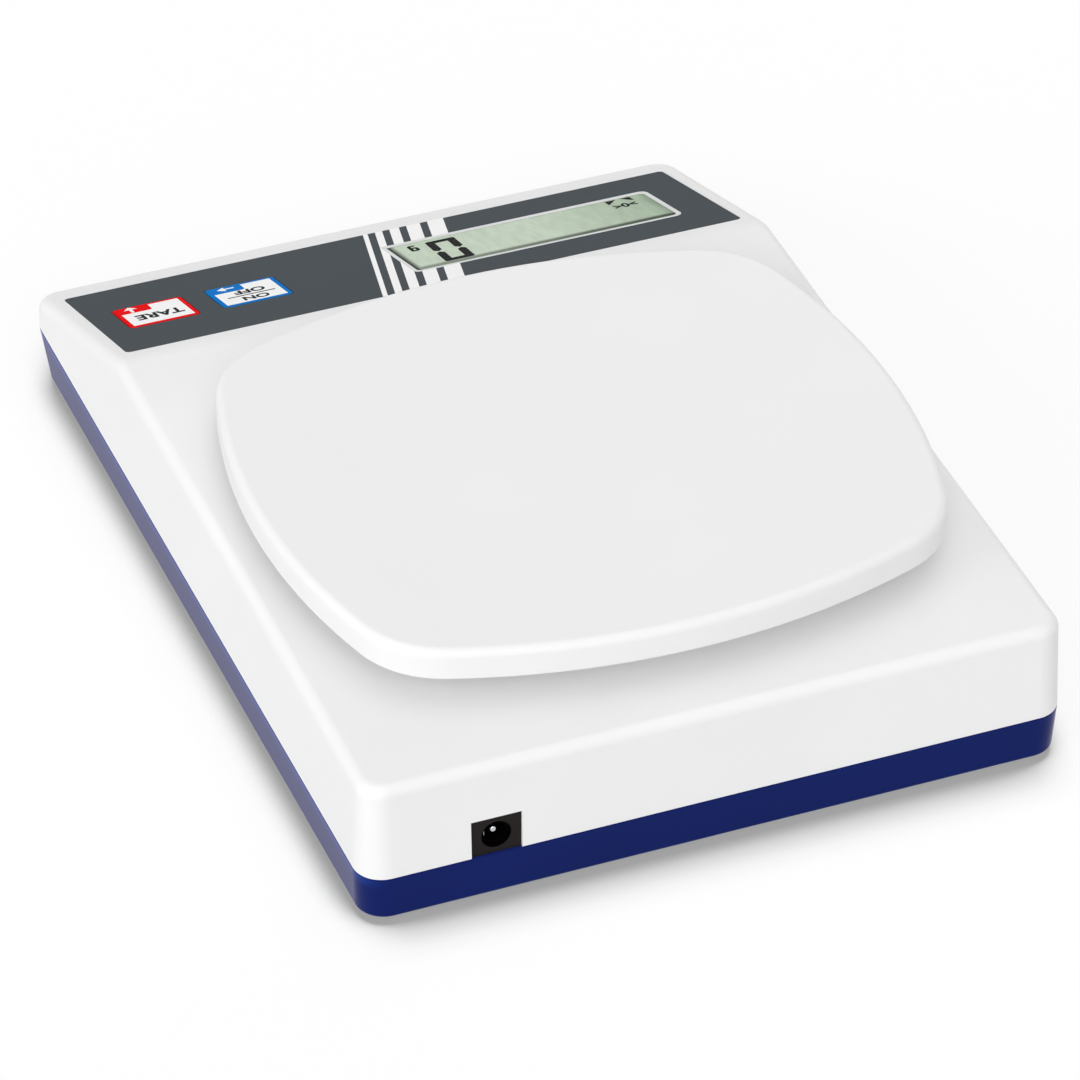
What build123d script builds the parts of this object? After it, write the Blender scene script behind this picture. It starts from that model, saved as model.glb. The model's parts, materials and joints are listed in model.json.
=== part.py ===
from build123d import *
import os
from math import atan2, cos, radians, sin, tan

os.makedirs("parts", exist_ok=True)

# A precision balance with a low keypad panel at the front and a weighing pan behind it.
# Millimetres. The origin is on the table under the middle of the body, +Z is up,
# -Y is the user's side and +X is the user's right.

# Body
body_width = 200.0
body_depth = 280.0
corner_radius = 8.0
wall = 2.5
foot_height = 2.5
tray_height = 13.5
tray_floor = 3.0
tray_draft = 2.9
tray_front_rake = 29.0
tray_edge_radius = 1.2
cover_draft = 2.1
cover_edge_radius = 3.2
seam_edge_radius = 0.3
rear_height = 28.6
ridge_height = 32.9
front_height = 7.2
ridge_setback = 77.0
ridge_radius = 14.0
shell_overshoot = 40.0

# Rim tongue of the tray, inside the cover's wall
tongue_height = 2.5
tongue_root = 5.0
tongue_thickness = 1.2
tongue_clearance = 0.3

# Feet and case screws
foot_radius = 9.0
foot_inset_x = 18.0
foot_inset_y = 24.0
front_foot_inset = 28.0
foot_seat = 1.2
foot_edge_radius = 0.6
boss_radius = 4.0
boss_inset = 10.0
front_boss_inset = 15.0
side_boss_inset = 9.0
side_boss_y = 10.0
case_screw_radius = 1.5
case_screw_grip = 6.0
case_head_radius = 2.75
case_head_height = 2.2
case_head_recess = 1.5
case_slot_width = 0.6
hole_clearance = 0.2
thread_clearance = 0.05

# Printed panel
overlay_side_margin = 6.65
overlay_depth = 63.8
overlay_front_margin = 11.1
overlay_thickness = 0.4
overlay_corner_radius = 1.5
overlay_gap = 0.15
window_width = 82.1
window_depth = 31.6
window_side_margin = 11.55
window_corner_radius = 2.6
window_thickness = 0.6
window_gap = 0.1
window_ledge = 0.8

# Keys and their switches
key_width = 20.8
key_depth = 20.4
key_corner_radius = 1.5
key_gap = 0.3
key_stand = 0.1
key_edge_radius = 0.1
key_side_margin = 7.9
key_spacing = 7.2
key_travel = 0.5
key_flange = 1.2
key_flange_thickness = 0.8
key_stop_gap = 0.05
key_stem_radius = 2.5
switch_size = 6.0
switch_height = 3.6
switch_stem_radius = 1.7
switch_stem_height = 1.2
switch_cavity = 2.4

# Display stack under the window, with the glass up in the cover's opening
lcd_thickness = 2.8
lcd_gap = 0.3
lcd_stand_off = 0.1
holder_wall = 1.5
zebra_width = 2.2
zebra_height = 5.6

# Main board, parallel to the panel
board_side_clearance = 5.5
board_depth = 48.0
board_thickness = 1.6
board_boss_radius = 2.6
board_boss_inset = 3.0
board_boss_left_inset = 6.0
board_boss_middle_x = 12.0
board_screw_radius = 1.0
board_screw_length = 6.0
board_screw_head_radius = 2.0
board_screw_head_height = 1.4
chip_size = 12.0
chip_height = 1.4
chip_x = -30.0
shield_width = 26.0
shield_depth = 18.0
shield_height = 4.0
shield_wall = 0.4
shield_x = 20.0
plug_width = 9.0
plug_depth = 6.0
plug_height = 6.0
battery_plug_x = -24.0
cell_plug_x = 0.0
power_lead_clearance = 5.5
crystal_length = 10.0
crystal_radius = 1.8
crystal_x = -52.0

# Load cell and what it carries
cell_length = 120.0
cell_width = 30.0
cell_height = 22.0
cell_eye_radius = 7.5
cell_eye_offset = 22.0
cell_slot_height = 4.0
cell_hole_pitch = 15.0
cell_hole_inset = 7.5
cell_screw_radius = 3.0
cell_screw_bite = 9.0
cell_hole_spare = 2.0
cell_head_radius = 5.0
cell_head_height = 4.0
cell_head_recess = 0.5
cell_key_radius = 2.5
pedestal_height = 5.5
pedestal_margin = 2.0
spacer_thickness = 2.0
spacer_length = 30.0
gauge_length = 12.0
gauge_width = 8.0
gauge_thickness = 0.3
gauge_offset_x = 6.0
load_travel = 0.5
stop_clearance = 0.05
carrier_thickness = 4.0
post_spacing_x = 100.0
post_spacing_y = 96.0
post_radius = 4.5
carrier_margin = 8.0
carrier_corner_radius = 8.0
carrier_window_width = 22.0
carrier_window_margin = 14.0
carrier_head_radius = 5.5
carrier_head_height = 3.0
carrier_key_radius = 1.8
post_hole_radius = 8.0
cap_radius = 6.0
cap_height = 8.0
cap_top = 2.0
stop_screw_radius = 2.5
stop_screw_length = 14.0
stop_boss_radius = 4.5
stop_boss_height = 22.5
stop_hole_spare = 1.0
nut_width = 8.0
nut_height = 4.0

# Weighing pan
pan_side_margin = 8.0
pan_rear_margin = 15.7
pan_front_margin = 13.3
pan_side_bow = 13.0
pan_end_bow = 16.7
pan_corner_radius = 28.0
pan_rim_height = 9.0
pan_plate = 3.0
pan_wall = 2.5
pan_edge_radius = 2.4
pan_top_height = 60.5
pan_lip_radius = 0.6
pan_rib_width = 2.0
pan_rib_height = 2.5
pan_ring_wall = 2.2
pan_ring_height = 4.5
cap_clearance = 0.3

# Battery compartment in the tray
battery_length = 46.0
battery_width = 26.5
battery_thickness = 17.5
battery_edge_radius = 2.0
battery_terminal_radius = 3.2
battery_terminal_height = 2.5
battery_terminal_pitch = 12.7
bay_length = 56.0
bay_width = 28.5
bay_side_margin = 31.0
bay_rear_margin = 8.75
bay_wall = 3.0
bay_headroom = 0.5
door_lap = 1.6
door_gap = 0.4
door_thickness = 2.2
door_recess = 0.2
door_pin_radius = 0.9
door_pin_reach = 1.2
door_pin_clearance = 0.15
door_latch_width = 9.0
door_latch_height = 4.0
door_latch_thickness = 1.2
door_grip_radius = 7.0
door_grip_depth = 1.2
pad_length = 34.0
pad_width = 18.0
pad_thickness = 1.0
pad_gap = 0.2
snap_length = 25.0
snap_width = 13.0
snap_thickness = 3.0
snap_gap = 0.1

# Power inlet at the rear
socket_side_margin = 37.0
notch_width = 14.1
notch_height = 11.7
notch_clearance = 0.1
socket_depth = 14.0
socket_recess = 0.8
socket_mouth_radius = 4.1
socket_mouth_depth = 1.6
socket_bore_radius = 3.2
socket_bore_depth = 9.5
socket_pin_radius = 1.0
socket_pin_length = 7.5
socket_leg_radius = 0.6
socket_leg_length = 3.5
power_board_width = 28.0
power_board_depth = 24.0
power_board_thickness = 1.6
power_post_radius = 3.0
power_screw_inset = 4.0
power_screw_radius = 1.0
power_screw_length = 6.0
power_screw_head_radius = 2.0
power_screw_head_height = 1.4
capacitor_radius = 4.0
capacitor_height = 11.0

# Wiring
wire_radius = 0.8
wire_pitch = 2.4
cable_radius = 1.8
wire_floor_gap = 1.5
cable_bend = 0.45
lead_run = 24.0
cable_run = 15.0

# Widths and places that follow from the sizes above
overlay_width = body_width - 2 * overlay_side_margin
window_x = window_side_margin + window_width / 2 - overlay_width / 2
tare_key_x = overlay_width / 2 - key_side_margin - key_width / 2
power_key_x = tare_key_x - key_width - key_spacing
board_width = body_width - 2 * (wall + board_side_clearance)
pan_width = body_width - 2 * pan_side_margin
pan_depth = body_depth - ridge_setback - pan_rear_margin - pan_front_margin
pan_center_y = body_depth / 2 - pan_rear_margin - pan_depth / 2
bay_x = bay_side_margin + bay_length / 2 - body_width / 2
bay_y = body_depth / 2 - bay_rear_margin - bay_width / 2
socket_x = body_width / 2 - socket_side_margin
power_plug_x = post_spacing_x / 2 + stop_boss_radius + power_lead_clearance
seam_z = foot_height + tray_height
floor_z = foot_height + tray_floor
rear_y = body_depth / 2
front_y = -body_depth / 2
platform_angle = atan2(ridge_height - rear_height, body_depth - ridge_setback)
panel_angle = atan2(ridge_height - front_height, ridge_setback)
panel_middle = overlay_front_margin + overlay_depth / 2
panel_plane = Plane(
    origin=(0, front_y + panel_middle * cos(panel_angle),
            seam_z + front_height + panel_middle * sin(panel_angle)),
    x_dir=(1, 0, 0),
    z_dir=(0, -sin(panel_angle), cos(panel_angle)),
)
upright = (Align.CENTER, Align.CENTER, Align.MIN)


def platform_z(y):
    """Height of the cover's platform over the line at this y."""
    return seam_z + rear_height + (rear_y - y) * tan(platform_angle)


def ridge_point(depth):
    """Where the platform and the panel meet, this far under the surface."""
    platform = platform_z(0) - depth / cos(platform_angle)
    panel = seam_z + front_height + rear_y * tan(panel_angle) - depth / cos(panel_angle)
    y = (platform - panel) / (tan(platform_angle) + tan(panel_angle))
    return y, platform - y * tan(platform_angle)


def panel_point(x, y, depth=0.0):
    """A point on the panel, or this far under it, in the part's own frame."""
    return panel_plane.from_local_coords(Vector(x, y, -depth))


def cover_form(shrink, rounding):
    """The cover's wedge form, drafted on all sides, or its hollow when shrunk by the wall."""
    ridge = ridge_point(shrink)
    reach = body_depth
    rear_end = (reach, ridge[1] - (reach - ridge[0]) * tan(platform_angle))
    front_end = (-reach, ridge[1] - (reach + ridge[0]) * tan(panel_angle))
    with BuildPart() as form:
        with BuildSketch(Plane.XY.offset(seam_z)):
            RectangleRounded(body_width - 2 * shrink, body_depth - 2 * shrink, corner_radius - shrink)
        extrude(amount=ridge_height + shell_overshoot, taper=cover_draft)
        with BuildSketch(Plane.YZ) as profile:
            with BuildLine():
                Polyline(rear_end, ridge, front_end, (-reach, -reach), (reach, -reach), close=True)
            make_face()
            fillet(profile.vertices().sort_by(Axis.Y)[-1], ridge_radius - shrink)
        extrude(amount=body_width, both=True, mode=Mode.INTERSECT)
        if rounding:
            tops = form.faces().filter_by(lambda face: face.normal_at().Z > 0.9)
            rim = [
                edge
                for edge in tops.edges()
                if abs(edge.center().X) > body_width / 2 - corner_radius
                or abs(edge.center().Y) > body_depth / 2 - corner_radius
            ]
            fillet(rim, rounding)
    return form.part


def mirrored_points(x, y, middle_y):
    """Four points, at plus and minus x and y about the middle."""
    return [(side * x, middle_y + end * y) for side in (-1, 1) for end in (-1, 1)]


def corner_points(side_inset, front_inset, rear_inset):
    """Four points near the body's corners, this far in from its sides, front and rear."""
    x = body_width / 2 - side_inset
    return [(side * x, y) for side in (-1, 1) for y in (front_y + front_inset, rear_y - rear_inset)]


def tray_form(shrink, depth):
    """The tray's form down to this depth, with its raked front, or its hollow when shrunk."""
    side = shrink + depth * tan(radians(tray_draft))
    front = shrink + depth * tan(radians(tray_front_rake))
    with BuildPart() as form:
        with BuildSketch(Plane.XY.offset(seam_z - depth)):
            with Locations((0, (front - side) / 2)):
                RectangleRounded(
                    body_width - 2 * side, body_depth - side - front, corner_radius - shrink
                )
        with BuildSketch(Plane.XY.offset(seam_z)):
            RectangleRounded(body_width - 2 * shrink, body_depth - 2 * shrink, corner_radius - shrink)
        loft(ruled=True)
    return form.part


def wire(points, radius):
    """A round wire through these points, each bend as wide as its two runs allow."""
    bends = []
    for before, corner, after in zip(points, points[1:], points[2:]):
        into = corner - before
        out = after - corner
        turn = into.get_angle(out)
        run = min(into.length, out.length)
        bends.append(cable_bend * run / tan(radians(turn) / 2))
    print("wire bends", [round(bend, 1) for bend in bends])
    with BuildPart() as lead:
        with BuildLine() as path:
            FilletPolyline(*points, radius=bends)
        with BuildSketch(Plane(origin=path.line @ 0, z_dir=path.line % 0)):
            Circle(radius)
        sweep()
    return lead.part


case_screw_points = corner_points(boss_inset, front_boss_inset, boss_inset) + [
    (side * (body_width / 2 - side_boss_inset), side_boss_y) for side in (-1, 1)
]
foot_points = corner_points(foot_inset_x, front_foot_inset, foot_inset_y)
post_points = mirrored_points(post_spacing_x / 2, post_spacing_y / 2, pan_center_y)

# Heights up the weighing stack
cell_z = floor_z + pedestal_height + spacer_thickness
carrier_z = cell_z + cell_height + spacer_thickness
pan_top_z = foot_height + pan_top_height
pan_under_z = pan_top_z - pan_plate
fixed_end_y = pan_center_y - cell_length / 2
free_end_y = pan_center_y + cell_length / 2
fixed_hole_y = [fixed_end_y + cell_hole_inset + step * cell_hole_pitch for step in (0, 1)]
free_hole_y = [free_end_y - cell_hole_inset - step * cell_hole_pitch for step in (0, 1)]
fixed_middle_y = sum(fixed_hole_y) / 2
free_middle_y = sum(free_hole_y) / 2

# Heights in the battery compartment
door_z = foot_height + door_recess
door_top_z = door_z + door_thickness
door_axis_z = door_z + door_thickness / 2
pad_top_z = door_top_z + pad_thickness
battery_z = pad_top_z + pad_gap
bay_roof_z = battery_z + battery_thickness + bay_headroom
door_axis_x = bay_x - bay_length / 2 - door_lap + door_thickness / 2
door_end_x = bay_x + bay_length / 2 + door_lap
door_width = bay_width + 2 * door_lap
battery_x = bay_x - bay_length / 2 + battery_edge_radius + battery_length / 2
battery_end_x = battery_x + battery_length / 2
battery_middle_z = battery_z + battery_thickness / 2
snap_x = battery_end_x + snap_gap
snap_middle_x = snap_x + (battery_terminal_height + snap_thickness) / 2
lead_exit_z = battery_middle_z - snap_width / 2 + 2 * wire_radius
recess_length = bay_length + 2 * (door_lap + door_gap)
recess_width = door_width + 2 * door_gap

# Depths under the panel's face
cover_skin = wall
lcd_top = window_gap + window_thickness + lcd_stand_off
lcd_under = lcd_top + lcd_thickness
board_top = lcd_under + zebra_height
board_under = board_top + board_thickness
key_flange_top = cover_skin + key_stop_gap
key_flange_under = key_flange_top + key_flange_thickness
switch_top = board_top - switch_height
switch_stem_top = switch_top - switch_stem_height
board_boss_x = (
    board_boss_left_inset - board_width / 2,
    board_boss_middle_x,
    board_width / 2 - board_boss_inset,
)
board_screw_points = [
    (x, side * (board_depth / 2 - board_boss_inset)) for x in board_boss_x for side in (-1, 1)
]

# Power inlet places
power_board_z = seam_z - power_board_thickness
socket_face_y = rear_y - socket_recess
power_board_rear_y = rear_y - wall - tongue_clearance - tongue_thickness - 2 * hole_clearance
power_board_y = power_board_rear_y - power_board_depth / 2
power_post_y = power_board_rear_y - power_board_depth + power_screw_inset
power_post_points = [
    (socket_x + side * (power_board_width / 2 - power_screw_inset), power_post_y) for side in (-1, 1)
]

# Forms of the tray, and how far in its rim tongue stands
tray_outer = tray_form(0, tray_height)
tray_hollow = tray_form(wall, tray_height - tray_floor)
tongue_outer = wall + tongue_clearance
tongue_inner = tongue_outer + tongue_thickness

# Root of the rim tongue, inside the tray's wall below the seam
with BuildPart() as tongue_base:
    add(tray_outer)
    with BuildSketch(Plane.XY.offset(seam_z - tongue_root)):
        RectangleRounded(body_width - wall, body_depth - wall, corner_radius - wall / 2)
        RectangleRounded(
            body_width - 2 * tongue_inner,
            body_depth - 2 * tongue_inner,
            corner_radius - tongue_inner,
            mode=Mode.SUBTRACT,
        )
    extrude(amount=tongue_root, mode=Mode.INTERSECT)

# Lower tray with its bosses, load cell pedestal and battery compartment
with BuildPart() as base_tray:
    add(tray_outer)
    fillet(base_tray.faces().sort_by(Axis.Z)[0].edges(), tray_edge_radius)
    fillet(base_tray.faces().sort_by(Axis.Z)[-1].edges(), seam_edge_radius)
    add(tray_hollow, mode=Mode.SUBTRACT)
    add(tongue_base.part)
    with BuildSketch(Plane.XY.offset(seam_z)):
        RectangleRounded(
            body_width - 2 * tongue_outer, body_depth - 2 * tongue_outer, corner_radius - tongue_outer
        )
        RectangleRounded(
            body_width - 2 * tongue_inner,
            body_depth - 2 * tongue_inner,
            corner_radius - tongue_inner,
            mode=Mode.SUBTRACT,
        )
    extrude(amount=tongue_height)
    # Bosses, posts and the load cell pedestal on the floor
    with BuildSketch(Plane.XY.offset(foot_height)):
        with Locations(*case_screw_points):
            Circle(boss_radius)
    extrude(amount=tray_height)
    with BuildSketch(Plane.XY.offset(foot_height)):
        with Locations(*post_points):
            Circle(stop_boss_radius)
    extrude(amount=tray_floor + stop_boss_height)
    with BuildSketch(Plane.XY.offset(foot_height)):
        with Locations(*power_post_points):
            Circle(power_post_radius)
    extrude(amount=power_board_z - foot_height)
    with BuildSketch(Plane.XY.offset(foot_height)):
        with Locations((0, fixed_middle_y)):
            RectangleRounded(
                cell_width + 2 * pedestal_margin, spacer_length + 2 * pedestal_margin, pedestal_margin
            )
    extrude(amount=tray_floor + pedestal_height)
    # Battery compartment, its door recess and the way out for the wires
    with BuildSketch(Plane.XY.offset(foot_height)):
        with Locations((bay_x, bay_y)):
            Rectangle(bay_length + 2 * bay_wall, bay_width + 2 * bay_wall)
    extrude(amount=bay_roof_z + bay_wall / 2 - foot_height)
    with BuildSketch(Plane.XY.offset(foot_height)):
        with Locations((bay_x, bay_y)):
            Rectangle(bay_length, bay_width)
    extrude(amount=bay_roof_z - foot_height, mode=Mode.SUBTRACT)
    with BuildSketch(Plane.XY.offset(foot_height)):
        with Locations((bay_x, bay_y)):
            Rectangle(recess_length, recess_width)
    extrude(amount=door_top_z + door_recess - foot_height, mode=Mode.SUBTRACT)
    with BuildSketch(Plane.XZ.offset(-bay_y)):
        with Locations((door_axis_x, door_axis_z)):
            Circle(door_pin_radius + door_pin_clearance)
    extrude(
        amount=door_width / 2 + door_pin_reach + door_pin_clearance, both=True, mode=Mode.SUBTRACT
    )
    with BuildSketch(Plane.XY.offset(foot_height)):
        with Locations((bay_x + recess_length / 2, bay_y)):
            Circle(door_grip_radius)
    extrude(amount=door_grip_depth, mode=Mode.SUBTRACT)
    with Locations((snap_middle_x, bay_y - bay_width / 2 - bay_wall / 2, lead_exit_z)):
        Box(2 * wire_pitch + 4 * wire_radius, 2 * bay_wall, 6 * wire_radius, mode=Mode.SUBTRACT)
    # Screw holes with their recesses, foot seats and the gap in the tongue at the inlet
    with Locations(*[(x, y, foot_height) for x, y in case_screw_points]):
        Cylinder(
            case_screw_radius + hole_clearance, tray_height, align=upright, mode=Mode.SUBTRACT
        )
        Cylinder(
            case_head_radius + hole_clearance,
            case_head_recess + case_head_height,
            align=upright,
            mode=Mode.SUBTRACT,
        )
    with Locations(*[(0, y, foot_height) for y in fixed_hole_y]):
        Cylinder(
            cell_screw_radius + hole_clearance,
            tray_floor + pedestal_height,
            align=upright,
            mode=Mode.SUBTRACT,
        )
        Cylinder(
            cell_head_radius + hole_clearance,
            cell_head_recess + cell_head_height,
            align=upright,
            mode=Mode.SUBTRACT,
        )
    with Locations(*[(x, y, foot_height) for x, y in foot_points]):
        Cylinder(foot_radius + hole_clearance, foot_seat, align=upright, mode=Mode.SUBTRACT)
    stop_boss_top = floor_z + stop_boss_height
    stop_top = carrier_z - load_travel - stop_clearance
    stop_foot = stop_top - stop_screw_length
    with Locations(*[(x, y, stop_foot - stop_hole_spare) for x, y in post_points]):
        Cylinder(
            stop_screw_radius + thread_clearance,
            stop_boss_top - stop_foot + stop_hole_spare,
            align=upright,
            mode=Mode.SUBTRACT,
        )
    with Locations(*[(x, y, power_board_z) for x, y in power_post_points]):
        Cylinder(
            power_screw_radius + thread_clearance,
            2 * (power_screw_length - power_board_thickness) + 2 * hole_clearance,
            mode=Mode.SUBTRACT,
        )
    with Locations((socket_x, rear_y, seam_z)):
        Box(
            notch_width + 2 * wall,
            3 * tongue_inner,
            2 * tongue_height,
            align=(Align.CENTER, Align.CENTER, Align.MIN),
            mode=Mode.SUBTRACT,
        )
base_tray.part.label = "base_tray"
export_step(base_tray.part, "parts/base_tray.step")

# Hollow of the cover, with its screw columns left standing
cover_inner = cover_form(wall, 0)
with BuildPart() as cover_hollow:
    add(cover_inner)
    with BuildSketch(Plane.XY.offset(seam_z)):
        with Locations(*case_screw_points):
            Circle(boss_radius)
    extrude(amount=ridge_height + shell_overshoot, mode=Mode.SUBTRACT)
    with BuildSketch(panel_plane.offset(-board_top)):
        with Locations(*board_screw_points):
            Circle(board_boss_radius)
    extrude(amount=board_top, mode=Mode.SUBTRACT)

# Upper cover with its panel, key, post and inlet openings
cover_outer = cover_form(0, cover_edge_radius)
with BuildPart() as top_cover:
    add(cover_outer)
    fillet(top_cover.faces().sort_by(Axis.Z)[0].edges(), seam_edge_radius)
    add(cover_hollow.part, mode=Mode.SUBTRACT)
    with BuildSketch(panel_plane):
        RectangleRounded(
            overlay_width + 2 * overlay_gap,
            overlay_depth + 2 * overlay_gap,
            overlay_corner_radius + overlay_gap,
        )
    extrude(amount=-overlay_thickness, mode=Mode.SUBTRACT)
    with BuildSketch(panel_plane):
        with Locations((window_x, 0)):
            RectangleRounded(
                window_width + 2 * window_gap,
                window_depth + 2 * window_gap,
                window_corner_radius + window_gap,
            )
    extrude(amount=-window_thickness - window_gap, mode=Mode.SUBTRACT)
    with BuildSketch(panel_plane):
        with Locations((window_x, 0)):
            Rectangle(window_width - 2 * window_ledge, window_depth - 2 * window_ledge)
        with Locations((tare_key_x, 0), (power_key_x, 0)):
            RectangleRounded(
                key_width + 2 * key_gap, key_depth + 2 * key_gap, key_corner_radius + key_gap
            )
    extrude(amount=-2 * cover_skin, mode=Mode.SUBTRACT)
    with BuildSketch(panel_plane.offset(-board_top)):
        with Locations(*board_screw_points):
            Circle(board_screw_radius + thread_clearance)
    extrude(amount=board_screw_length - board_thickness + hole_clearance, mode=Mode.SUBTRACT)
    with BuildSketch(Plane.XY.offset(seam_z + ridge_height)):
        with Locations(*post_points):
            Circle(post_hole_radius)
    extrude(amount=ridge_height / 2, both=True, mode=Mode.SUBTRACT)
    with BuildSketch(Plane.XY.offset(seam_z)):
        with Locations(*case_screw_points):
            Circle(case_screw_radius + thread_clearance)
    extrude(amount=case_screw_grip + hole_clearance, mode=Mode.SUBTRACT)
    with Locations((socket_x, rear_y, seam_z)):
        Box(notch_width, 4 * wall, notch_height, align=upright, mode=Mode.SUBTRACT)
top_cover.part.label = "top_cover"
export_step(top_cover.part, "parts/top_cover.step")

# Printed foil over the panel
with BuildPart() as control_overlay:
    with BuildSketch(panel_plane.offset(-overlay_thickness)):
        RectangleRounded(overlay_width, overlay_depth, overlay_corner_radius)
        with Locations((window_x, 0)):
            RectangleRounded(
                window_width + 2 * window_gap,
                window_depth + 2 * window_gap,
                window_corner_radius + window_gap,
                mode=Mode.SUBTRACT,
            )
        with Locations((tare_key_x, 0), (power_key_x, 0)):
            RectangleRounded(
                key_width + 2 * key_gap,
                key_depth + 2 * key_gap,
                key_corner_radius + key_gap,
                mode=Mode.SUBTRACT,
            )
    extrude(amount=overlay_thickness)
control_overlay.part.label = "control_overlay"
export_step(control_overlay.part, "parts/control_overlay.step")

# Clear window over the display
with BuildPart() as display_window:
    with BuildSketch(panel_plane.offset(-window_thickness - window_gap)):
        with Locations((window_x, 0)):
            RectangleRounded(window_width, window_depth, window_corner_radius)
    extrude(amount=window_thickness)
display_window.part.label = "display_window"
export_step(display_window.part, "parts/display_window.step")

# Liquid crystal glass
lcd_width = window_width - 2 * (window_ledge + lcd_gap)
lcd_depth = window_depth - 2 * (window_ledge + lcd_gap)
with BuildPart() as lcd_glass:
    with BuildSketch(panel_plane.offset(-lcd_under)):
        with Locations((window_x, 0)):
            Rectangle(lcd_width, lcd_depth)
    extrude(amount=lcd_thickness)
lcd_glass.part.label = "lcd_glass"
export_step(lcd_glass.part, "parts/lcd_glass.step")

# Frame that holds the glass on the board
with BuildPart() as lcd_holder:
    with BuildSketch(panel_plane.offset(-board_top)):
        with Locations((window_x, 0)):
            RectangleRounded(
                lcd_width + 2 * (holder_wall + lcd_gap),
                lcd_depth + 2 * (holder_wall + lcd_gap),
                holder_wall,
            )
            Rectangle(lcd_width + 2 * lcd_gap, lcd_depth + 2 * lcd_gap, mode=Mode.SUBTRACT)
    extrude(amount=board_top - cover_skin - lcd_gap)
lcd_holder.part.label = "lcd_holder"
export_step(lcd_holder.part, "parts/lcd_holder.step")

# Elastomer strips that join the glass to the board
with BuildPart() as zebra_strips:
    with BuildSketch(panel_plane.offset(-board_top)):
        for side in (-1, 1):
            with Locations((window_x, side * (lcd_depth / 2 - zebra_width))):
                Rectangle(lcd_width - 2 * zebra_width, zebra_width)
    extrude(amount=zebra_height)
zebra_strips.part.label = "zebra_strips"
export_step(zebra_strips.part, "parts/zebra_strips.step")

# Main circuit board
with BuildPart() as main_board:
    with BuildSketch(panel_plane.offset(-board_under)):
        RectangleRounded(board_width, board_depth, board_boss_inset / 2)
        with Locations(*board_screw_points):
            Circle(board_screw_radius + hole_clearance, mode=Mode.SUBTRACT)
    extrude(amount=board_thickness)
main_board.part.label = "main_board"
export_step(main_board.part, "parts/main_board.step")

# Screws that hang the board from the cover's columns
with BuildPart() as board_screws:
    with BuildSketch(panel_plane.offset(-board_under)):
        with Locations(*board_screw_points):
            Circle(board_screw_radius)
    extrude(amount=board_screw_length)
    with BuildSketch(panel_plane.offset(-board_under)):
        with Locations(*board_screw_points):
            Circle(board_screw_head_radius)
    extrude(amount=-board_screw_head_height)
board_screws.part.label = "board_screws"
export_step(board_screws.part, "parts/board_screws.step")

# Controller chip under the board
with BuildPart() as microcontroller:
    with BuildSketch(panel_plane.offset(-board_under)):
        with Locations((chip_x, 0)):
            Rectangle(chip_size, chip_size)
    extrude(amount=-chip_height)
microcontroller.part.label = "microcontroller"
export_step(microcontroller.part, "parts/microcontroller.step")

# Screening can over the converter
with BuildPart() as converter_shield:
    with BuildSketch(panel_plane.offset(-board_under)):
        with Locations((shield_x, 0)):
            Rectangle(shield_width, shield_depth)
    extrude(amount=-shield_height)
    with BuildSketch(panel_plane.offset(-board_under)):
        with Locations((shield_x, 0)):
            Rectangle(shield_width - 2 * shield_wall, shield_depth - 2 * shield_wall)
    extrude(amount=shield_wall - shield_height, mode=Mode.SUBTRACT)
converter_shield.part.label = "converter_shield"
export_step(converter_shield.part, "parts/converter_shield.step")

# Converter chip under the can
with BuildPart() as converter_chip:
    with BuildSketch(panel_plane.offset(-board_under)):
        with Locations((shield_x, 0)):
            Rectangle(chip_size, chip_size / 2)
    extrude(amount=-chip_height)
converter_chip.part.label = "converter_chip"
export_step(converter_chip.part, "parts/converter_chip.step")

# Clock crystal, lying on the board's under face
with BuildPart() as crystal:
    crystal_plane = Plane(
        origin=panel_point(crystal_x, 0, board_under + crystal_radius),
        x_dir=panel_plane.y_dir,
        z_dir=panel_plane.x_dir,
    )
    with BuildSketch(crystal_plane):
        Circle(crystal_radius)
    extrude(amount=crystal_length / 2, both=True)
crystal.part.label = "crystal"
export_step(crystal.part, "parts/crystal.step")

# Wire connectors along the board's rear edge
plug_middle = board_depth / 2 - plug_depth
with BuildPart() as board_plugs:
    with BuildSketch(panel_plane.offset(-board_under)):
        with Locations(
            (battery_plug_x, plug_middle), (cell_plug_x, plug_middle), (power_plug_x, plug_middle)
        ):
            Rectangle(plug_width, plug_depth)
    extrude(amount=-plug_height)
board_plugs.part.label = "board_plugs"
export_step(board_plugs.part, "parts/board_plugs.step")


def key_solid(x):
    """A key plate with the flange that keeps it in and the stem that works its switch."""
    with BuildPart() as key:
        with BuildSketch(panel_plane.offset(-key_flange_top)):
            with Locations((x, 0)):
                RectangleRounded(key_width, key_depth, key_corner_radius)
        extrude(amount=key_flange_top + key_stand)
        fillet(key.faces().sort_by(panel_axis)[-1].edges(), key_edge_radius)
        with BuildSketch(panel_plane.offset(-key_flange_under)):
            with Locations((x, 0)):
                RectangleRounded(
                    key_width + 2 * key_flange, key_depth + 2 * key_flange, key_corner_radius + key_flange
                )
        extrude(amount=key_flange_thickness)
        with BuildSketch(panel_plane.offset(-switch_stem_top)):
            with Locations((x, 0)):
                Circle(key_stem_radius)
        extrude(amount=switch_stem_top - key_flange_under)
    return key.part


def switch_case(x):
    """A push switch's case, open at the top for its stem."""
    with BuildPart() as case:
        with BuildSketch(panel_plane.offset(-board_top)):
            with Locations((x, 0)):
                Rectangle(switch_size, switch_size)
        extrude(amount=switch_height)
        with BuildSketch(panel_plane.offset(-switch_top)):
            with Locations((x, 0)):
                Circle(switch_stem_radius + hole_clearance)
        extrude(amount=-switch_cavity, mode=Mode.SUBTRACT)
    return case.part


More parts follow.
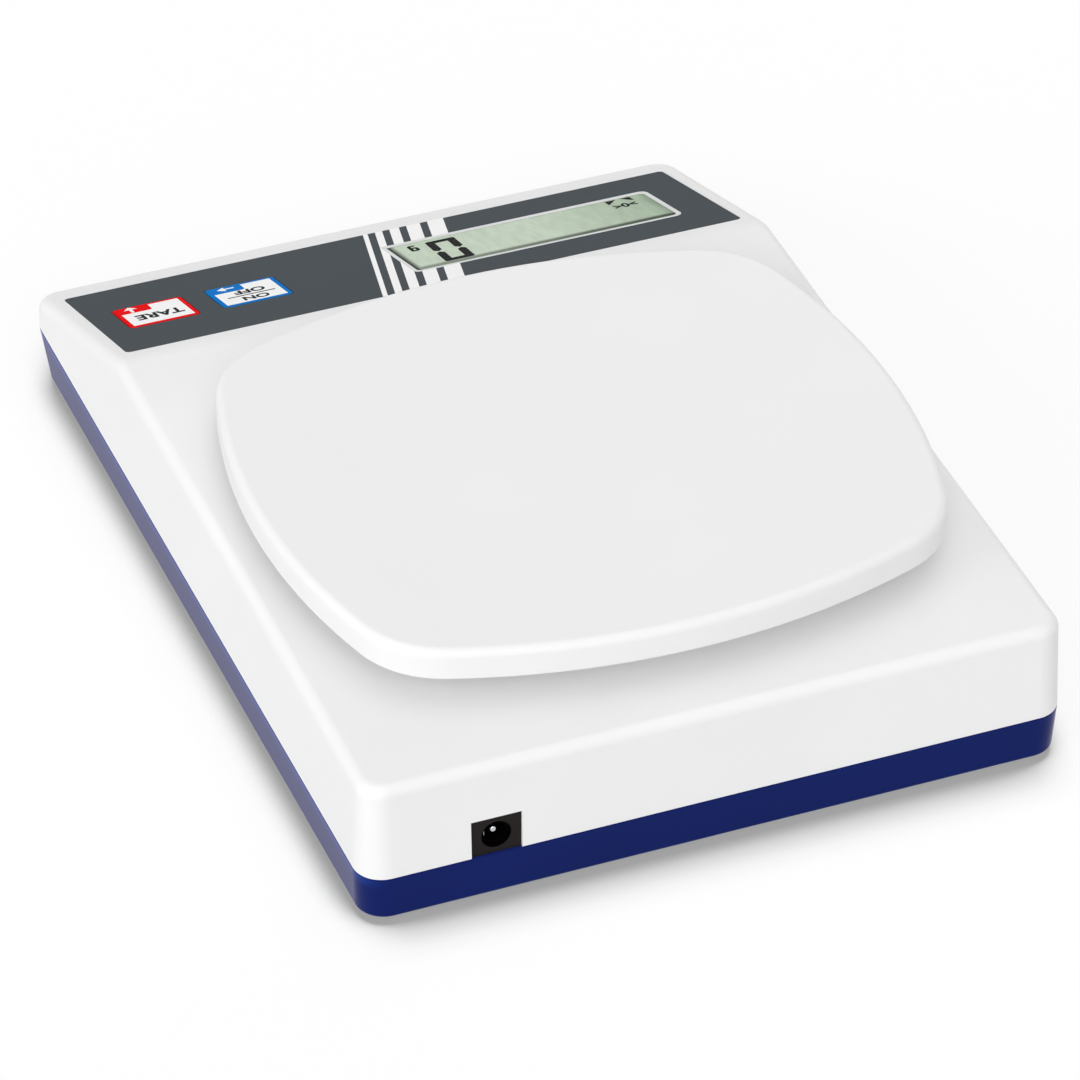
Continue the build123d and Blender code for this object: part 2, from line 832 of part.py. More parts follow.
def switch_plunger(x):
    """The switch's own stem, which the key pushes in."""
    with BuildPart() as plunger:
        with BuildSketch(panel_plane.offset(-switch_stem_top)):
            with Locations((x, 0)):
                Circle(switch_stem_radius)
        extrude(amount=-(switch_stem_height + switch_cavity - 2 * key_travel))
    return plunger.part


panel_axis = Axis(panel_plane.origin, panel_plane.z_dir)

# Tare key with its switch
tare_key_form = key_solid(tare_key_x)
with BuildPart() as tare_key:
    add(tare_key_form)
tare_key.part.label = "tare_key"
export_step(tare_key.part, "parts/tare_key.step")

tare_switch_form = switch_case(tare_key_x)
with BuildPart() as tare_switch:
    add(tare_switch_form)
tare_switch.part.label = "tare_switch"
export_step(tare_switch.part, "parts/tare_switch.step")

tare_switch_stem_form = switch_plunger(tare_key_x)
with BuildPart() as tare_switch_stem:
    add(tare_switch_stem_form)
tare_switch_stem.part.label = "tare_switch_stem"
export_step(tare_switch_stem.part, "parts/tare_switch_stem.step")

# On and off key with its switch
power_key_form = key_solid(power_key_x)
with BuildPart() as power_key:
    add(power_key_form)
power_key.part.label = "power_key"
export_step(power_key.part, "parts/power_key.step")

power_switch_form = switch_case(power_key_x)
with BuildPart() as power_switch:
    add(power_switch_form)
power_switch.part.label = "power_switch"
export_step(power_switch.part, "parts/power_switch.step")

power_switch_stem_form = switch_plunger(power_key_x)
with BuildPart() as power_switch_stem:
    add(power_switch_stem_form)
power_switch_stem.part.label = "power_switch_stem"
export_step(power_switch_stem.part, "parts/power_switch_stem.step")

# Load cell: an aluminium beam with two joined eyes
with BuildPart() as load_cell:
    with Locations((0, pan_center_y, cell_z)):
        Box(cell_width, cell_length, cell_height, align=upright)
    with BuildSketch(Plane.YZ):
        with Locations(
            (pan_center_y - cell_eye_offset, cell_z + cell_height / 2),
            (pan_center_y + cell_eye_offset, cell_z + cell_height / 2),
        ):
            Circle(cell_eye_radius)
        with Locations((pan_center_y, cell_z + cell_height / 2)):
            Rectangle(2 * cell_eye_offset, cell_slot_height)
    extrude(amount=cell_width, both=True, mode=Mode.SUBTRACT)
    with Locations(*[(0, y, cell_z) for y in fixed_hole_y]):
        Cylinder(
            cell_screw_radius + thread_clearance,
            cell_screw_bite + cell_hole_spare,
            align=upright,
            mode=Mode.SUBTRACT,
        )
    with Locations(*[(0, y, cell_z + cell_height) for y in free_hole_y]):
        Cylinder(
            cell_screw_radius + thread_clearance,
            cell_screw_bite + cell_hole_spare,
            align=(Align.CENTER, Align.CENTER, Align.MAX),
            mode=Mode.SUBTRACT,
        )
load_cell.part.label = "load_cell"
export_step(load_cell.part, "parts/load_cell.step")

# Strain gauges over and under the eyes
with BuildPart() as strain_gauges:
    for start, rise in ((cell_z + cell_height, gauge_thickness), (cell_z, -gauge_thickness)):
        with BuildSketch(Plane.XY.offset(start)):
            with Locations(*mirrored_points(gauge_offset_x, cell_eye_offset, pan_center_y)):
                Rectangle(gauge_width, gauge_length)
        extrude(amount=rise)
strain_gauges.part.label = "strain_gauges"
export_step(strain_gauges.part, "parts/strain_gauges.step")

# Spacer under the fixed end
with BuildPart() as cell_spacer:
    with BuildSketch(Plane.XY.offset(floor_z + pedestal_height)):
        with Locations((0, fixed_middle_y)):
            Rectangle(cell_width, spacer_length)
        with Locations(*[(0, y) for y in fixed_hole_y]):
            Circle(cell_screw_radius + hole_clearance, mode=Mode.SUBTRACT)
    extrude(amount=spacer_thickness)
cell_spacer.part.label = "cell_spacer"
export_step(cell_spacer.part, "parts/cell_spacer.step")

# Screws from below into the fixed end
cell_screw_seat = foot_height + cell_head_recess + cell_head_height
with BuildPart() as cell_screws:
    with Locations(*[(0, y, cell_screw_seat) for y in fixed_hole_y]):
        Cylinder(cell_screw_radius, cell_z + cell_screw_bite - cell_screw_seat, align=upright)
    with Locations(*[(0, y, foot_height + cell_head_recess) for y in fixed_hole_y]):
        Cylinder(cell_head_radius, cell_head_height, align=upright)
    with BuildSketch(Plane.XY.offset(foot_height + cell_head_recess)):
        with Locations(*[(0, y) for y in fixed_hole_y]):
            RegularPolygon(cell_key_radius, 6)
    extrude(amount=cell_head_height / 2, mode=Mode.SUBTRACT)
cell_screws.part.label = "cell_screws"
export_step(cell_screws.part, "parts/cell_screws.step")

# Spacer on the free end
with BuildPart() as carrier_spacer:
    with BuildSketch(Plane.XY.offset(cell_z + cell_height)):
        with Locations((0, free_middle_y)):
            Rectangle(cell_width, spacer_length)
        with Locations(*[(0, y) for y in free_hole_y]):
            Circle(cell_screw_radius + hole_clearance, mode=Mode.SUBTRACT)
    extrude(amount=spacer_thickness)
carrier_spacer.part.label = "carrier_spacer"
export_step(carrier_spacer.part, "parts/carrier_spacer.step")

# Carrier frame whose posts come up through the cover
carrier_width = post_spacing_x + 2 * carrier_margin
carrier_depth = post_spacing_y + 2 * carrier_margin
window_offset = post_spacing_x / 2 - carrier_margin - carrier_window_width / 2
with BuildPart() as pan_carrier:
    with BuildSketch(Plane.XY.offset(carrier_z)):
        with Locations((0, pan_center_y)):
            RectangleRounded(carrier_width, carrier_depth, carrier_corner_radius)
        with Locations((0, free_middle_y)):
            RectangleRounded(
                cell_width + 2 * pedestal_margin, spacer_length + 2 * pedestal_margin, pedestal_margin
            )
        with Locations((-window_offset, pan_center_y), (window_offset, pan_center_y)):
            RectangleRounded(
                carrier_window_width,
                carrier_depth - 2 * carrier_window_margin,
                carrier_margin / 2,
                mode=Mode.SUBTRACT,
            )
    extrude(amount=carrier_thickness)
    with BuildSketch(Plane.XY.offset(carrier_z + carrier_thickness)):
        with Locations(*post_points):
            Circle(post_radius)
    extrude(amount=pan_under_z - cap_top - carrier_z - carrier_thickness)
    with Locations(*[(0, y, carrier_z) for y in free_hole_y]):
        Cylinder(
            cell_screw_radius + hole_clearance, carrier_thickness, align=upright, mode=Mode.SUBTRACT
        )
    with Locations(*[(0, y, carrier_z + carrier_thickness) for y in free_hole_y]):
        Cone(
            cell_screw_radius + hole_clearance,
            carrier_head_radius + hole_clearance,
            carrier_head_height,
            align=(Align.CENTER, Align.CENTER, Align.MAX),
            mode=Mode.SUBTRACT,
        )
pan_carrier.part.label = "pan_carrier"
export_step(pan_carrier.part, "parts/pan_carrier.step")

# Countersunk screws through the carrier into the free end
with BuildPart() as carrier_screws:
    with Locations(*[(0, y, carrier_z + carrier_thickness) for y in free_hole_y]):
        Cylinder(
            cell_screw_radius,
            carrier_thickness + spacer_thickness + cell_screw_bite,
            align=(Align.CENTER, Align.CENTER, Align.MAX),
        )
        Cone(
            cell_screw_radius,
            carrier_head_radius,
            carrier_head_height,
            align=(Align.CENTER, Align.CENTER, Align.MAX),
        )
    with BuildSketch(Plane.XY.offset(carrier_z + carrier_thickness)):
        with Locations(*[(0, y) for y in free_hole_y]):
            RegularPolygon(carrier_key_radius, 6)
    extrude(amount=-carrier_head_height / 2, mode=Mode.SUBTRACT)
carrier_screws.part.label = "carrier_screws"
export_step(carrier_screws.part, "parts/carrier_screws.step")

# Rubber caps on the posts
with BuildPart() as post_caps:
    with Locations(*[(x, y, pan_under_z - cap_height) for x, y in post_points]):
        Cylinder(cap_radius, cap_height, align=upright)
        Cylinder(post_radius, cap_height - cap_top, align=upright, mode=Mode.SUBTRACT)
post_caps.part.label = "post_caps"
export_step(post_caps.part, "parts/post_caps.step")

# Overload stops: grub screws with lock nuts, under the posts
with BuildPart() as stop_screws:
    with Locations(*[(x, y, stop_foot) for x, y in post_points]):
        Cylinder(stop_screw_radius, stop_screw_length, align=upright)
stop_screws.part.label = "stop_screws"
export_step(stop_screws.part, "parts/stop_screws.step")

with BuildPart() as stop_nuts:
    with BuildSketch(Plane.XY.offset(stop_boss_top)):
        with Locations(*post_points):
            RegularPolygon(nut_width / 2, 6, major_radius=False)
            Circle(stop_screw_radius + thread_clearance, mode=Mode.SUBTRACT)
    extrude(amount=nut_height)
stop_nuts.part.label = "stop_nuts"
export_step(stop_nuts.part, "parts/stop_nuts.step")


def pan_outline(shrink):
    """The pan's plan: four bowed sides with round corners, drawn in by this much."""
    half_width = pan_width / 2 - shrink
    half_depth = pan_depth / 2 - shrink
    corner_x = half_width - pan_side_bow
    corner_y = half_depth - pan_end_bow
    with BuildSketch() as outline:
        with BuildLine():
            ThreePointArc((corner_x, -corner_y), (half_width, 0), (corner_x, corner_y))
            ThreePointArc((corner_x, corner_y), (0, half_depth), (-corner_x, corner_y))
            ThreePointArc((-corner_x, corner_y), (-half_width, 0), (-corner_x, -corner_y))
            ThreePointArc((-corner_x, -corner_y), (0, -half_depth), (corner_x, -corner_y))
        make_face()
        fillet(outline.vertices(), pan_corner_radius - shrink)
    return outline.sketch


# Weighing pan: a shallow tray upside down, with rings that drop over the caps
pan_rim_z = pan_top_z - pan_rim_height
pan_outer = pan_outline(0)
pan_inner = pan_outline(pan_wall)
with BuildPart() as weighing_pan:
    with BuildSketch(Plane.XY.offset(pan_rim_z)):
        with Locations((0, pan_center_y)):
            add(pan_outer)
    extrude(amount=pan_rim_height)
    fillet(weighing_pan.faces().sort_by(Axis.Z)[-1].edges(), pan_edge_radius)
    with BuildSketch(Plane.XY.offset(pan_rim_z)):
        with Locations((0, pan_center_y)):
            add(pan_inner)
    extrude(amount=pan_rim_height - pan_plate, mode=Mode.SUBTRACT)
    fillet(weighing_pan.faces().sort_by(Axis.Z)[0].outer_wire().edges(), pan_lip_radius)
    with BuildSketch(Plane.XY.offset(pan_under_z)):
        for side in (-1, 1):
            with Locations((side * post_spacing_x / 2, pan_center_y)):
                Rectangle(pan_rib_width, post_spacing_y)
            with Locations((0, pan_center_y + side * post_spacing_y / 2)):
                Rectangle(post_spacing_x, pan_rib_width)
        with Locations(*post_points):
            Circle(cap_radius + cap_clearance, mode=Mode.SUBTRACT)
    extrude(amount=-pan_rib_height)
    with BuildSketch(Plane.XY.offset(pan_under_z)):
        with Locations(*post_points):
            Circle(cap_radius + cap_clearance + pan_ring_wall)
            Circle(cap_radius + cap_clearance, mode=Mode.SUBTRACT)
    extrude(amount=-pan_ring_height)
weighing_pan.part.label = "weighing_pan"
export_step(weighing_pan.part, "parts/weighing_pan.step")

# Rubber feet in their seats
with BuildPart() as rubber_feet:
    with Locations(*[(x, y, 0) for x, y in foot_points]):
        Cylinder(foot_radius, foot_height + foot_seat, align=upright)
    fillet(rubber_feet.faces().group_by(Axis.Z)[0].edges(), foot_edge_radius)
rubber_feet.part.label = "rubber_feet"
export_step(rubber_feet.part, "parts/rubber_feet.step")

# Case screws from below, through the tray into the cover's columns
case_head_z = foot_height + case_head_recess
with BuildPart() as case_screws:
    with Locations(*[(x, y, case_head_z) for x, y in case_screw_points]):
        Cylinder(case_head_radius, case_head_height, align=upright)
        Cylinder(case_screw_radius, seam_z + case_screw_grip - case_head_z, align=upright)
        Box(case_head_radius, case_slot_width, case_head_height, mode=Mode.SUBTRACT)
        Box(case_slot_width, case_head_radius, case_head_height, mode=Mode.SUBTRACT)
case_screws.part.label = "case_screws"
export_step(case_screws.part, "parts/case_screws.step")

# Battery door with its hinge pins and latch tongue
with BuildPart() as battery_door:
    with BuildSketch(Plane.XZ.offset(-bay_y)):
        with Locations(((door_axis_x + door_end_x) / 2, door_axis_z)):
            Rectangle(door_end_x - door_axis_x, door_thickness)
        with Locations((door_axis_x, door_axis_z)):
            Circle(door_thickness / 2)
    extrude(amount=door_width / 2, both=True)
    with BuildSketch(Plane.XZ.offset(-bay_y)):
        with Locations((door_axis_x, door_axis_z)):
            Circle(door_pin_radius)
    extrude(amount=door_width / 2 + door_pin_reach, both=True)
    with Locations((bay_x + bay_length / 2 - door_gap - door_latch_thickness / 2, bay_y, door_z)):
        Box(door_latch_thickness, door_latch_width, door_thickness + door_latch_height, align=upright)
battery_door.part.label = "battery_door"
export_step(battery_door.part, "parts/battery_door.step")

# Foam pad on the door, under the battery
with BuildPart() as battery_pad:
    with BuildSketch(Plane.XY.offset(door_top_z)):
        with Locations((battery_x, bay_y)):
            RectangleRounded(pad_length, pad_width, battery_edge_radius)
    extrude(amount=pad_thickness)
battery_pad.part.label = "battery_pad"
export_step(battery_pad.part, "parts/battery_pad.step")

# Nine volt block battery
with BuildPart() as battery:
    with Locations((battery_x, bay_y, battery_z)):
        Box(battery_length, battery_width, battery_thickness, align=upright)
    fillet(battery.edges().filter_by(Axis.X), battery_edge_radius)
    with BuildSketch(Plane.YZ.offset(battery_end_x)):
        for side in (-1, 1):
            with Locations((bay_y + side * battery_terminal_pitch / 2, battery_middle_z)):
                Circle(battery_terminal_radius)
    extrude(amount=battery_terminal_height)
battery.part.label = "battery"
export_step(battery.part, "parts/battery.step")

# Snap connector over the battery's terminals
with BuildPart() as battery_snap:
    with BuildSketch(Plane.YZ.offset(snap_x)):
        with Locations((bay_y, battery_middle_z)):
            RectangleRounded(snap_length, snap_width, battery_edge_radius)
    extrude(amount=battery_terminal_height + snap_thickness)
    with BuildSketch(Plane.YZ.offset(snap_x)):
        for side in (-1, 1):
            with Locations((bay_y + side * battery_terminal_pitch / 2, battery_middle_z)):
                Circle(battery_terminal_radius + snap_gap)
    extrude(amount=battery_terminal_height, mode=Mode.SUBTRACT)
battery_snap.part.label = "battery_snap"
export_step(battery_snap.part, "parts/battery_snap.step")

# Barrel socket in the rear notch
socket_width = notch_width - 2 * notch_clearance
socket_height = notch_height - notch_clearance
socket_axis_z = seam_z + socket_height / 2
with BuildPart() as dc_socket:
    with Locations((socket_x, socket_face_y, seam_z)):
        Box(socket_width, socket_depth, socket_height, align=(Align.CENTER, Align.MAX, Align.MIN))
    with BuildSketch(Plane.XZ.offset(-socket_face_y)):
        with Locations((socket_x, socket_axis_z)):
            Circle(socket_mouth_radius)
    extrude(amount=socket_mouth_depth, mode=Mode.SUBTRACT)
    with BuildSketch(Plane.XZ.offset(-socket_face_y)):
        with Locations((socket_x, socket_axis_z)):
            Circle(socket_bore_radius)
    extrude(amount=socket_bore_depth, mode=Mode.SUBTRACT)
dc_socket.part.label = "dc_socket"
export_step(dc_socket.part, "parts/dc_socket.step")

# Centre pin of the socket
with BuildPart() as socket_pin:
    with BuildSketch(Plane.XZ.offset(socket_bore_depth - socket_face_y)):
        with Locations((socket_x, socket_axis_z)):
            Circle(socket_pin_radius)
    extrude(amount=-socket_pin_length)
    fillet(socket_pin.faces().sort_by(Axis.Y)[-1].edges(), socket_pin_radius / 2)
socket_pin.part.label = "socket_pin"
export_step(socket_pin.part, "parts/socket_pin.step")

# Small board that carries the socket
leg_points = [
    (socket_x + side * (socket_width / 2 - 2 * socket_leg_radius), power_board_y + socket_leg_length)
    for side in (-1, 1)
]
capacitor_point = (socket_x, power_board_y - capacitor_radius - socket_leg_length)
with BuildPart() as power_board:
    with BuildSketch(Plane.XY.offset(power_board_z)):
        with Locations((socket_x, power_board_y)):
            Rectangle(power_board_width, power_board_depth)
        with Locations(*power_post_points):
            Circle(power_screw_radius + hole_clearance, mode=Mode.SUBTRACT)
        with Locations(*leg_points):
            Circle(socket_leg_radius + thread_clearance, mode=Mode.SUBTRACT)
    extrude(amount=power_board_thickness)
power_board.part.label = "power_board"
export_step(power_board.part, "parts/power_board.step")

# Solder legs of the socket
with BuildPart() as socket_legs:
    with Locations(*[(x, y, seam_z) for x, y in leg_points]):
        Cylinder(socket_leg_radius, socket_leg_length, align=(Align.CENTER, Align.CENTER, Align.MAX))
socket_legs.part.label = "socket_legs"
export_step(socket_legs.part, "parts/socket_legs.step")

# Smoothing capacitor on the small board
with BuildPart() as capacitor:
    with Locations((*capacitor_point, seam_z)):
        Cylinder(capacitor_radius, capacitor_height, align=upright)
    fillet(capacitor.faces().sort_by(Axis.Z)[-1].edges(), wire_radius)
capacitor.part.label = "capacitor"
export_step(capacitor.part, "parts/capacitor.step")

# Screws of the small board
with BuildPart() as power_board_screws:
    with Locations(*[(x, y, seam_z) for x, y in power_post_points]):
        Cylinder(power_screw_radius, power_screw_length, align=(Align.CENTER, Align.CENTER, Align.MAX))
        Cylinder(power_screw_head_radius, power_screw_head_height, align=upright)
power_board_screws.part.label = "power_board_screws"
export_step(power_board_screws.part, "parts/power_board_screws.step")

# Wiring from the battery, the socket board and the load cell to the main board
plug_rear = plug_middle + plug_depth / 2
plug_center_depth = board_under + plug_height / 2
wire_z = floor_z + wire_floor_gap + wire_radius


def plug_end(x, away):
    """A point behind a connector's rear face, this far along the panel."""
    return panel_point(x, plug_rear + away, plug_center_depth)


wire_sides = (-wire_pitch / 2, wire_pitch / 2)
battery_wires = [
    wire(
        [
            Vector(snap_middle_x + side, bay_y - snap_length / 2, lead_exit_z),
            Vector(snap_middle_x + side, bay_y - bay_width / 2 - 2 * bay_wall, lead_exit_z),
            Vector(battery_plug_x + side, pan_center_y + cell_length / 4, wire_z),
            Vector(battery_plug_x + side, fixed_end_y, wire_z),
            plug_end(battery_plug_x + side, lead_run),
            plug_end(battery_plug_x + side, 0),
        ],
        wire_radius,
    )
    for side in wire_sides
]
with BuildPart() as battery_leads:
    add(battery_wires)
battery_leads.part.label = "battery_leads"
export_step(battery_leads.part, "parts/battery_leads.step")

power_lead_z = seam_z - power_board_thickness / 2
power_wires = [
    wire(
        [
            Vector(power_plug_x + side, power_board_y - power_board_depth / 2, power_lead_z),
            Vector(power_plug_x + side, power_board_y - power_board_depth, power_lead_z),
            Vector(power_plug_x + side, pan_center_y + cell_length / 4, wire_z),
            Vector(power_plug_x + side, fixed_end_y, wire_z),
            plug_end(power_plug_x + side, lead_run),
            plug_end(power_plug_x + side, 0),
        ],
        wire_radius,
    )
    for side in wire_sides
]
with BuildPart() as power_leads:
    add(power_wires)
power_leads.part.label = "power_leads"
export_step(power_leads.part, "parts/power_leads.step")

cable_tube = wire(
    [
        Vector(cell_plug_x, fixed_end_y, cell_z + cell_height / 2),
        Vector(cell_plug_x, fixed_end_y - 2 * plug_depth, cell_z + cell_height / 2),
        plug_end(cell_plug_x, cable_run),
        plug_end(cell_plug_x, 0),
    ],
    cable_radius,
)
with BuildPart() as cell_cable:
    add(cable_tube)
cell_cable.part.label = "cell_cable"
export_step(cell_cable.part, "parts/cell_cable.step")
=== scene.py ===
import json
from math import cos, pi, radians, sin

import bmesh
import bpy
from mathutils import Matrix, Vector


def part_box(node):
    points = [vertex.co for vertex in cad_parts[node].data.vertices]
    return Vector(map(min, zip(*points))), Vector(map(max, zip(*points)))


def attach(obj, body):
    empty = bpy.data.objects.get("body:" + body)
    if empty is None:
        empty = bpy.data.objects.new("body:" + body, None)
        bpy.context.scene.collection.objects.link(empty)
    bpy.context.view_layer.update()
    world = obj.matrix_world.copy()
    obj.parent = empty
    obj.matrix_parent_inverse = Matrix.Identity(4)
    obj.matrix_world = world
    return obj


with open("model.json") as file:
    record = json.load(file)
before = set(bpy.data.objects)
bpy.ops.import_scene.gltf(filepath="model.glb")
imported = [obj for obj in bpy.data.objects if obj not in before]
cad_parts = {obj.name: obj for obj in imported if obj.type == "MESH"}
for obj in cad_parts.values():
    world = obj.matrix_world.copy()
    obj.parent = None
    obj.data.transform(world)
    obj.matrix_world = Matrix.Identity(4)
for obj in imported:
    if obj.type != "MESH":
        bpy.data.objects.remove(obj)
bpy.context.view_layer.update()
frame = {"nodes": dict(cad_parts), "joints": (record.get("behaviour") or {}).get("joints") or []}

# The finish of a precision balance: moulded plastics, the printed panel, the display and its surroundings.
# Metres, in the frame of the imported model. The user's side is -Y.
# Printed marks are written in millimetres, across the panel and up its slope.

mm = 0.001


# Colours


def srgb(red, green, blue):
    """A colour written in screen values from 0 to 255, as the linear colour that a shader takes."""

    def linear(value):
        # The constants are those of the standard screen curve
        value = value / 255
        return value / 12.92 if value <= 0.04045 else ((value + 0.055) / 1.055) ** 2.4

    return (linear(red), linear(green), linear(blue), 1.0)


white_plastic = srgb(236, 236, 236)
navy_plastic = srgb(13, 30, 94)
# Painted light: the bluer lip under the seam on the tray's side walls
lip_painted_blue = srgb(24, 54, 134)
panel_grey = srgb(74, 80, 84)
print_white = srgb(254, 254, 254)
border_white = srgb(228, 229, 229)
key_red = srgb(238, 0, 10)
key_blue = srgb(0, 118, 203)
legend_grey = srgb(36, 40, 44)
display_green = srgb(205, 219, 200)
display_shade = srgb(168, 188, 164)
display_dark = srgb(24, 34, 22)
segment_black = srgb(6, 9, 7)
pane_grey = srgb(90, 94, 90)
sheen_white = srgb(250, 246, 255)
socket_black = srgb(38, 34, 34)
# Painted shade for the socket's mouth and bore
bore_painted_shade = srgb(2, 2, 2)
rubber_black = srgb(30, 30, 31)
foam_grey = srgb(92, 92, 96)
board_green = srgb(24, 92, 48)
board_light = srgb(34, 112, 60)
chip_black = srgb(34, 34, 36)
steel_grey = srgb(196, 197, 200)
cast_grey = srgb(178, 180, 184)
aluminium_grey = srgb(214, 216, 220)
gauge_amber = srgb(196, 140, 62)
nylon_white = srgb(226, 222, 208)
lead_red = srgb(160, 24, 22)
cable_grey = srgb(130, 131, 134)
zebra_pink = srgb(206, 160, 168)
zebra_black = srgb(60, 52, 54)
can_blue = srgb(38, 62, 120)
battery_dark = srgb(74, 74, 78)


# Places of the CAD nodes, and the panel's own frame from the direction in which the keys travel


def extent(name, direction):
    """The lowest and the highest place of a node along a direction."""
    places = [vertex.co.dot(direction) for vertex in frame["nodes"][name].data.vertices]
    return min(places), max(places)


key_travel_axis = next(joint for joint in frame["joints"] if joint["name"] == "tare_press")["axis"]
panel_normal = -Vector(key_travel_axis).normalized()
panel_across = Vector((1, 0, 0))
panel_up = panel_normal.cross(panel_across)
panel_front = extent("control_overlay", panel_up)[0]
panel_face = extent("control_overlay", panel_normal)[1]
panel_depth = (extent("control_overlay", panel_up)[1] - panel_front) / mm


def lift_of(name):
    """How far a node's face stands over the panel's, in millimetres."""
    return (extent(name, panel_normal)[1] - panel_face) / mm


def face_of(name):
    """The left, front, right and rear of a node's face on the panel, in millimetres."""
    edge_height = 0.15 * mm
    top = extent(name, panel_normal)[1]
    face = [
        vertex.co
        for vertex in frame["nodes"][name].data.vertices
        if vertex.co.dot(panel_normal) > top - edge_height
    ]
    across = [place.dot(panel_across) / mm for place in face]
    up = [(place.dot(panel_up) - panel_front) / mm for place in face]
    return min(across), min(up), max(across), max(up)


# Material building blocks

noise_low, noise_high = 0.3, 0.7  # most values of the soft noise lie between these
drift_size = 45 * mm


def add(tree, kind, inputs, **settings):
    """A new shader node with its settings; each input is a value or another node's output."""
    made = tree.nodes.new("ShaderNode" + kind)
    for name, value in settings.items():
        setattr(made, name, value)
    for name, value in inputs.items():
        if isinstance(value, bpy.types.NodeSocket):
            tree.links.new(value, made.inputs[name])
        else:
            made.inputs[name].default_value = value
    return made


def new_material(name):
    """A material with its node tree, its Principled shader and the object coordinates."""
    material = bpy.data.materials.new(name)
    material.use_nodes = True
    tree = material.node_tree
    place = tree.nodes.new("ShaderNodeTexCoord").outputs["Object"]
    return material, tree, tree.nodes["Principled BSDF"], place


def noise(tree, place, size, detail=3.0):
    """Soft noise whose grains are about this size in metres."""
    return add(tree, "TexNoise", {"Vector": place, "Scale": 1 / size, "Detail": detail}).outputs["Fac"]


def stretched(tree, place, factors, turn=(0, 0, 0)):
    """The same coordinates, turned and scaled along each axis, for brushed and striped looks."""
    return add(tree, "Mapping", {"Vector": place, "Scale": factors, "Rotation": turn}).outputs["Vector"]


def ranged(tree, value, start, end, low=0.0, high=1.0, kind="LINEAR"):
    """A value that goes from low to high as another goes from start to end."""
    inputs = {"Value": value, "From Min": start, "From Max": end, "To Min": low, "To Max": high}
    return add(tree, "MapRange", inputs, interpolation_type=kind).outputs["Result"]


def blended(tree, factor, first, second):
    """The first colour where the factor is 0, the second where it is 1."""
    return add(tree, "Mix", {"Factor": factor, "A": first, "B": second}, data_type="RGBA").outputs["Result"]


def combined(tree, operation, first, second):
    """Two values worked into one."""
    return add(tree, "Math", {0: first, 1: second}, operation=operation).outputs["Value"]


def mottled(tree, factor, colour, spread):
    """A colour that drifts darker and lighter by this share."""
    dark = [part * (1 - spread) for part in colour[:3]] + [1.0]
    light = [min(part * (1 + spread), 1.0) for part in colour[:3]] + [1.0]
    return blended(tree, ranged(tree, factor, noise_low, noise_high), dark, light)


def glossed(tree, shader, factor, roughness, drift):
    """Gives the shader a roughness that drifts by this much to both sides."""
    gloss = ranged(tree, factor, noise_low, noise_high, roughness - drift, roughness + drift)
    tree.links.new(gloss, shader.inputs["Roughness"])


def bumped(tree, shader, height, depth):
    """Relief of this depth in metres on the shader's surface."""
    bump = add(tree, "Bump", {"Height": height, "Strength": 1.0, "Distance": depth})
    tree.links.new(bump.outputs["Normal"], shader.inputs["Normal"])


def moulded(name, colour, roughness=0.45, specular=0.4, grain=0.5 * mm, depth=0.004 * mm, drift=0.02):
    """Moulded plastic, rubber or paint: fine grain, slight drift of tone and gloss."""
    material, tree, shader, place = new_material(name)
    broad = noise(tree, place, drift_size, detail=2.0)
    fine = noise(tree, place, grain)
    tree.links.new(mottled(tree, broad, colour, drift), shader.inputs["Base Color"])
    glossed(tree, shader, fine, roughness, drift=0.04)
    shader.inputs["Specular IOR Level"].default_value = specular
    bumped(tree, shader, fine, depth)
    return material


def printed(name, colour, roughness=0.6):
    """Ink or foil: matt, with a very fine tooth."""
    return moulded(name, colour, roughness, specular=0.02, grain=0.3 * mm, depth=0.002 * mm, drift=0.01)


def machined(name, colour, roughness=0.35, stretch=(1, 12, 12), depth=0.003 * mm):
    """Metal with fine tool marks along one axis."""
    material, tree, shader, place = new_material(name)
    mark_size = 0.9 * mm
    marks = noise(tree, stretched(tree, place, stretch), mark_size, detail=4.0)
    tree.links.new(mottled(tree, marks, colour, spread=0.06), shader.inputs["Base Color"])
    glossed(tree, shader, marks, roughness, drift=0.07)
    shader.inputs["Metallic"].default_value = 1.0
    bumped(tree, shader, marks, depth)
    return material


def banded(name, colour, second, pitch, roughness, stretch):
    """Two colours in fine bands, for the elastomer strips and the board's tracks."""
    material, tree, shader, place = new_material(name)
    relief, waviness = 0.01 * mm, 1.5
    inputs = {"Vector": stretched(tree, place, stretch), "Scale": 1 / pitch, "Distortion": waviness}
    wave = add(tree, "TexWave", inputs).outputs["Fac"]
    tree.links.new(blended(tree, wave, colour, second), shader.inputs["Base Color"])
    shader.inputs["Roughness"].default_value = roughness
    bumped(tree, shader, wave, relief)
    return material


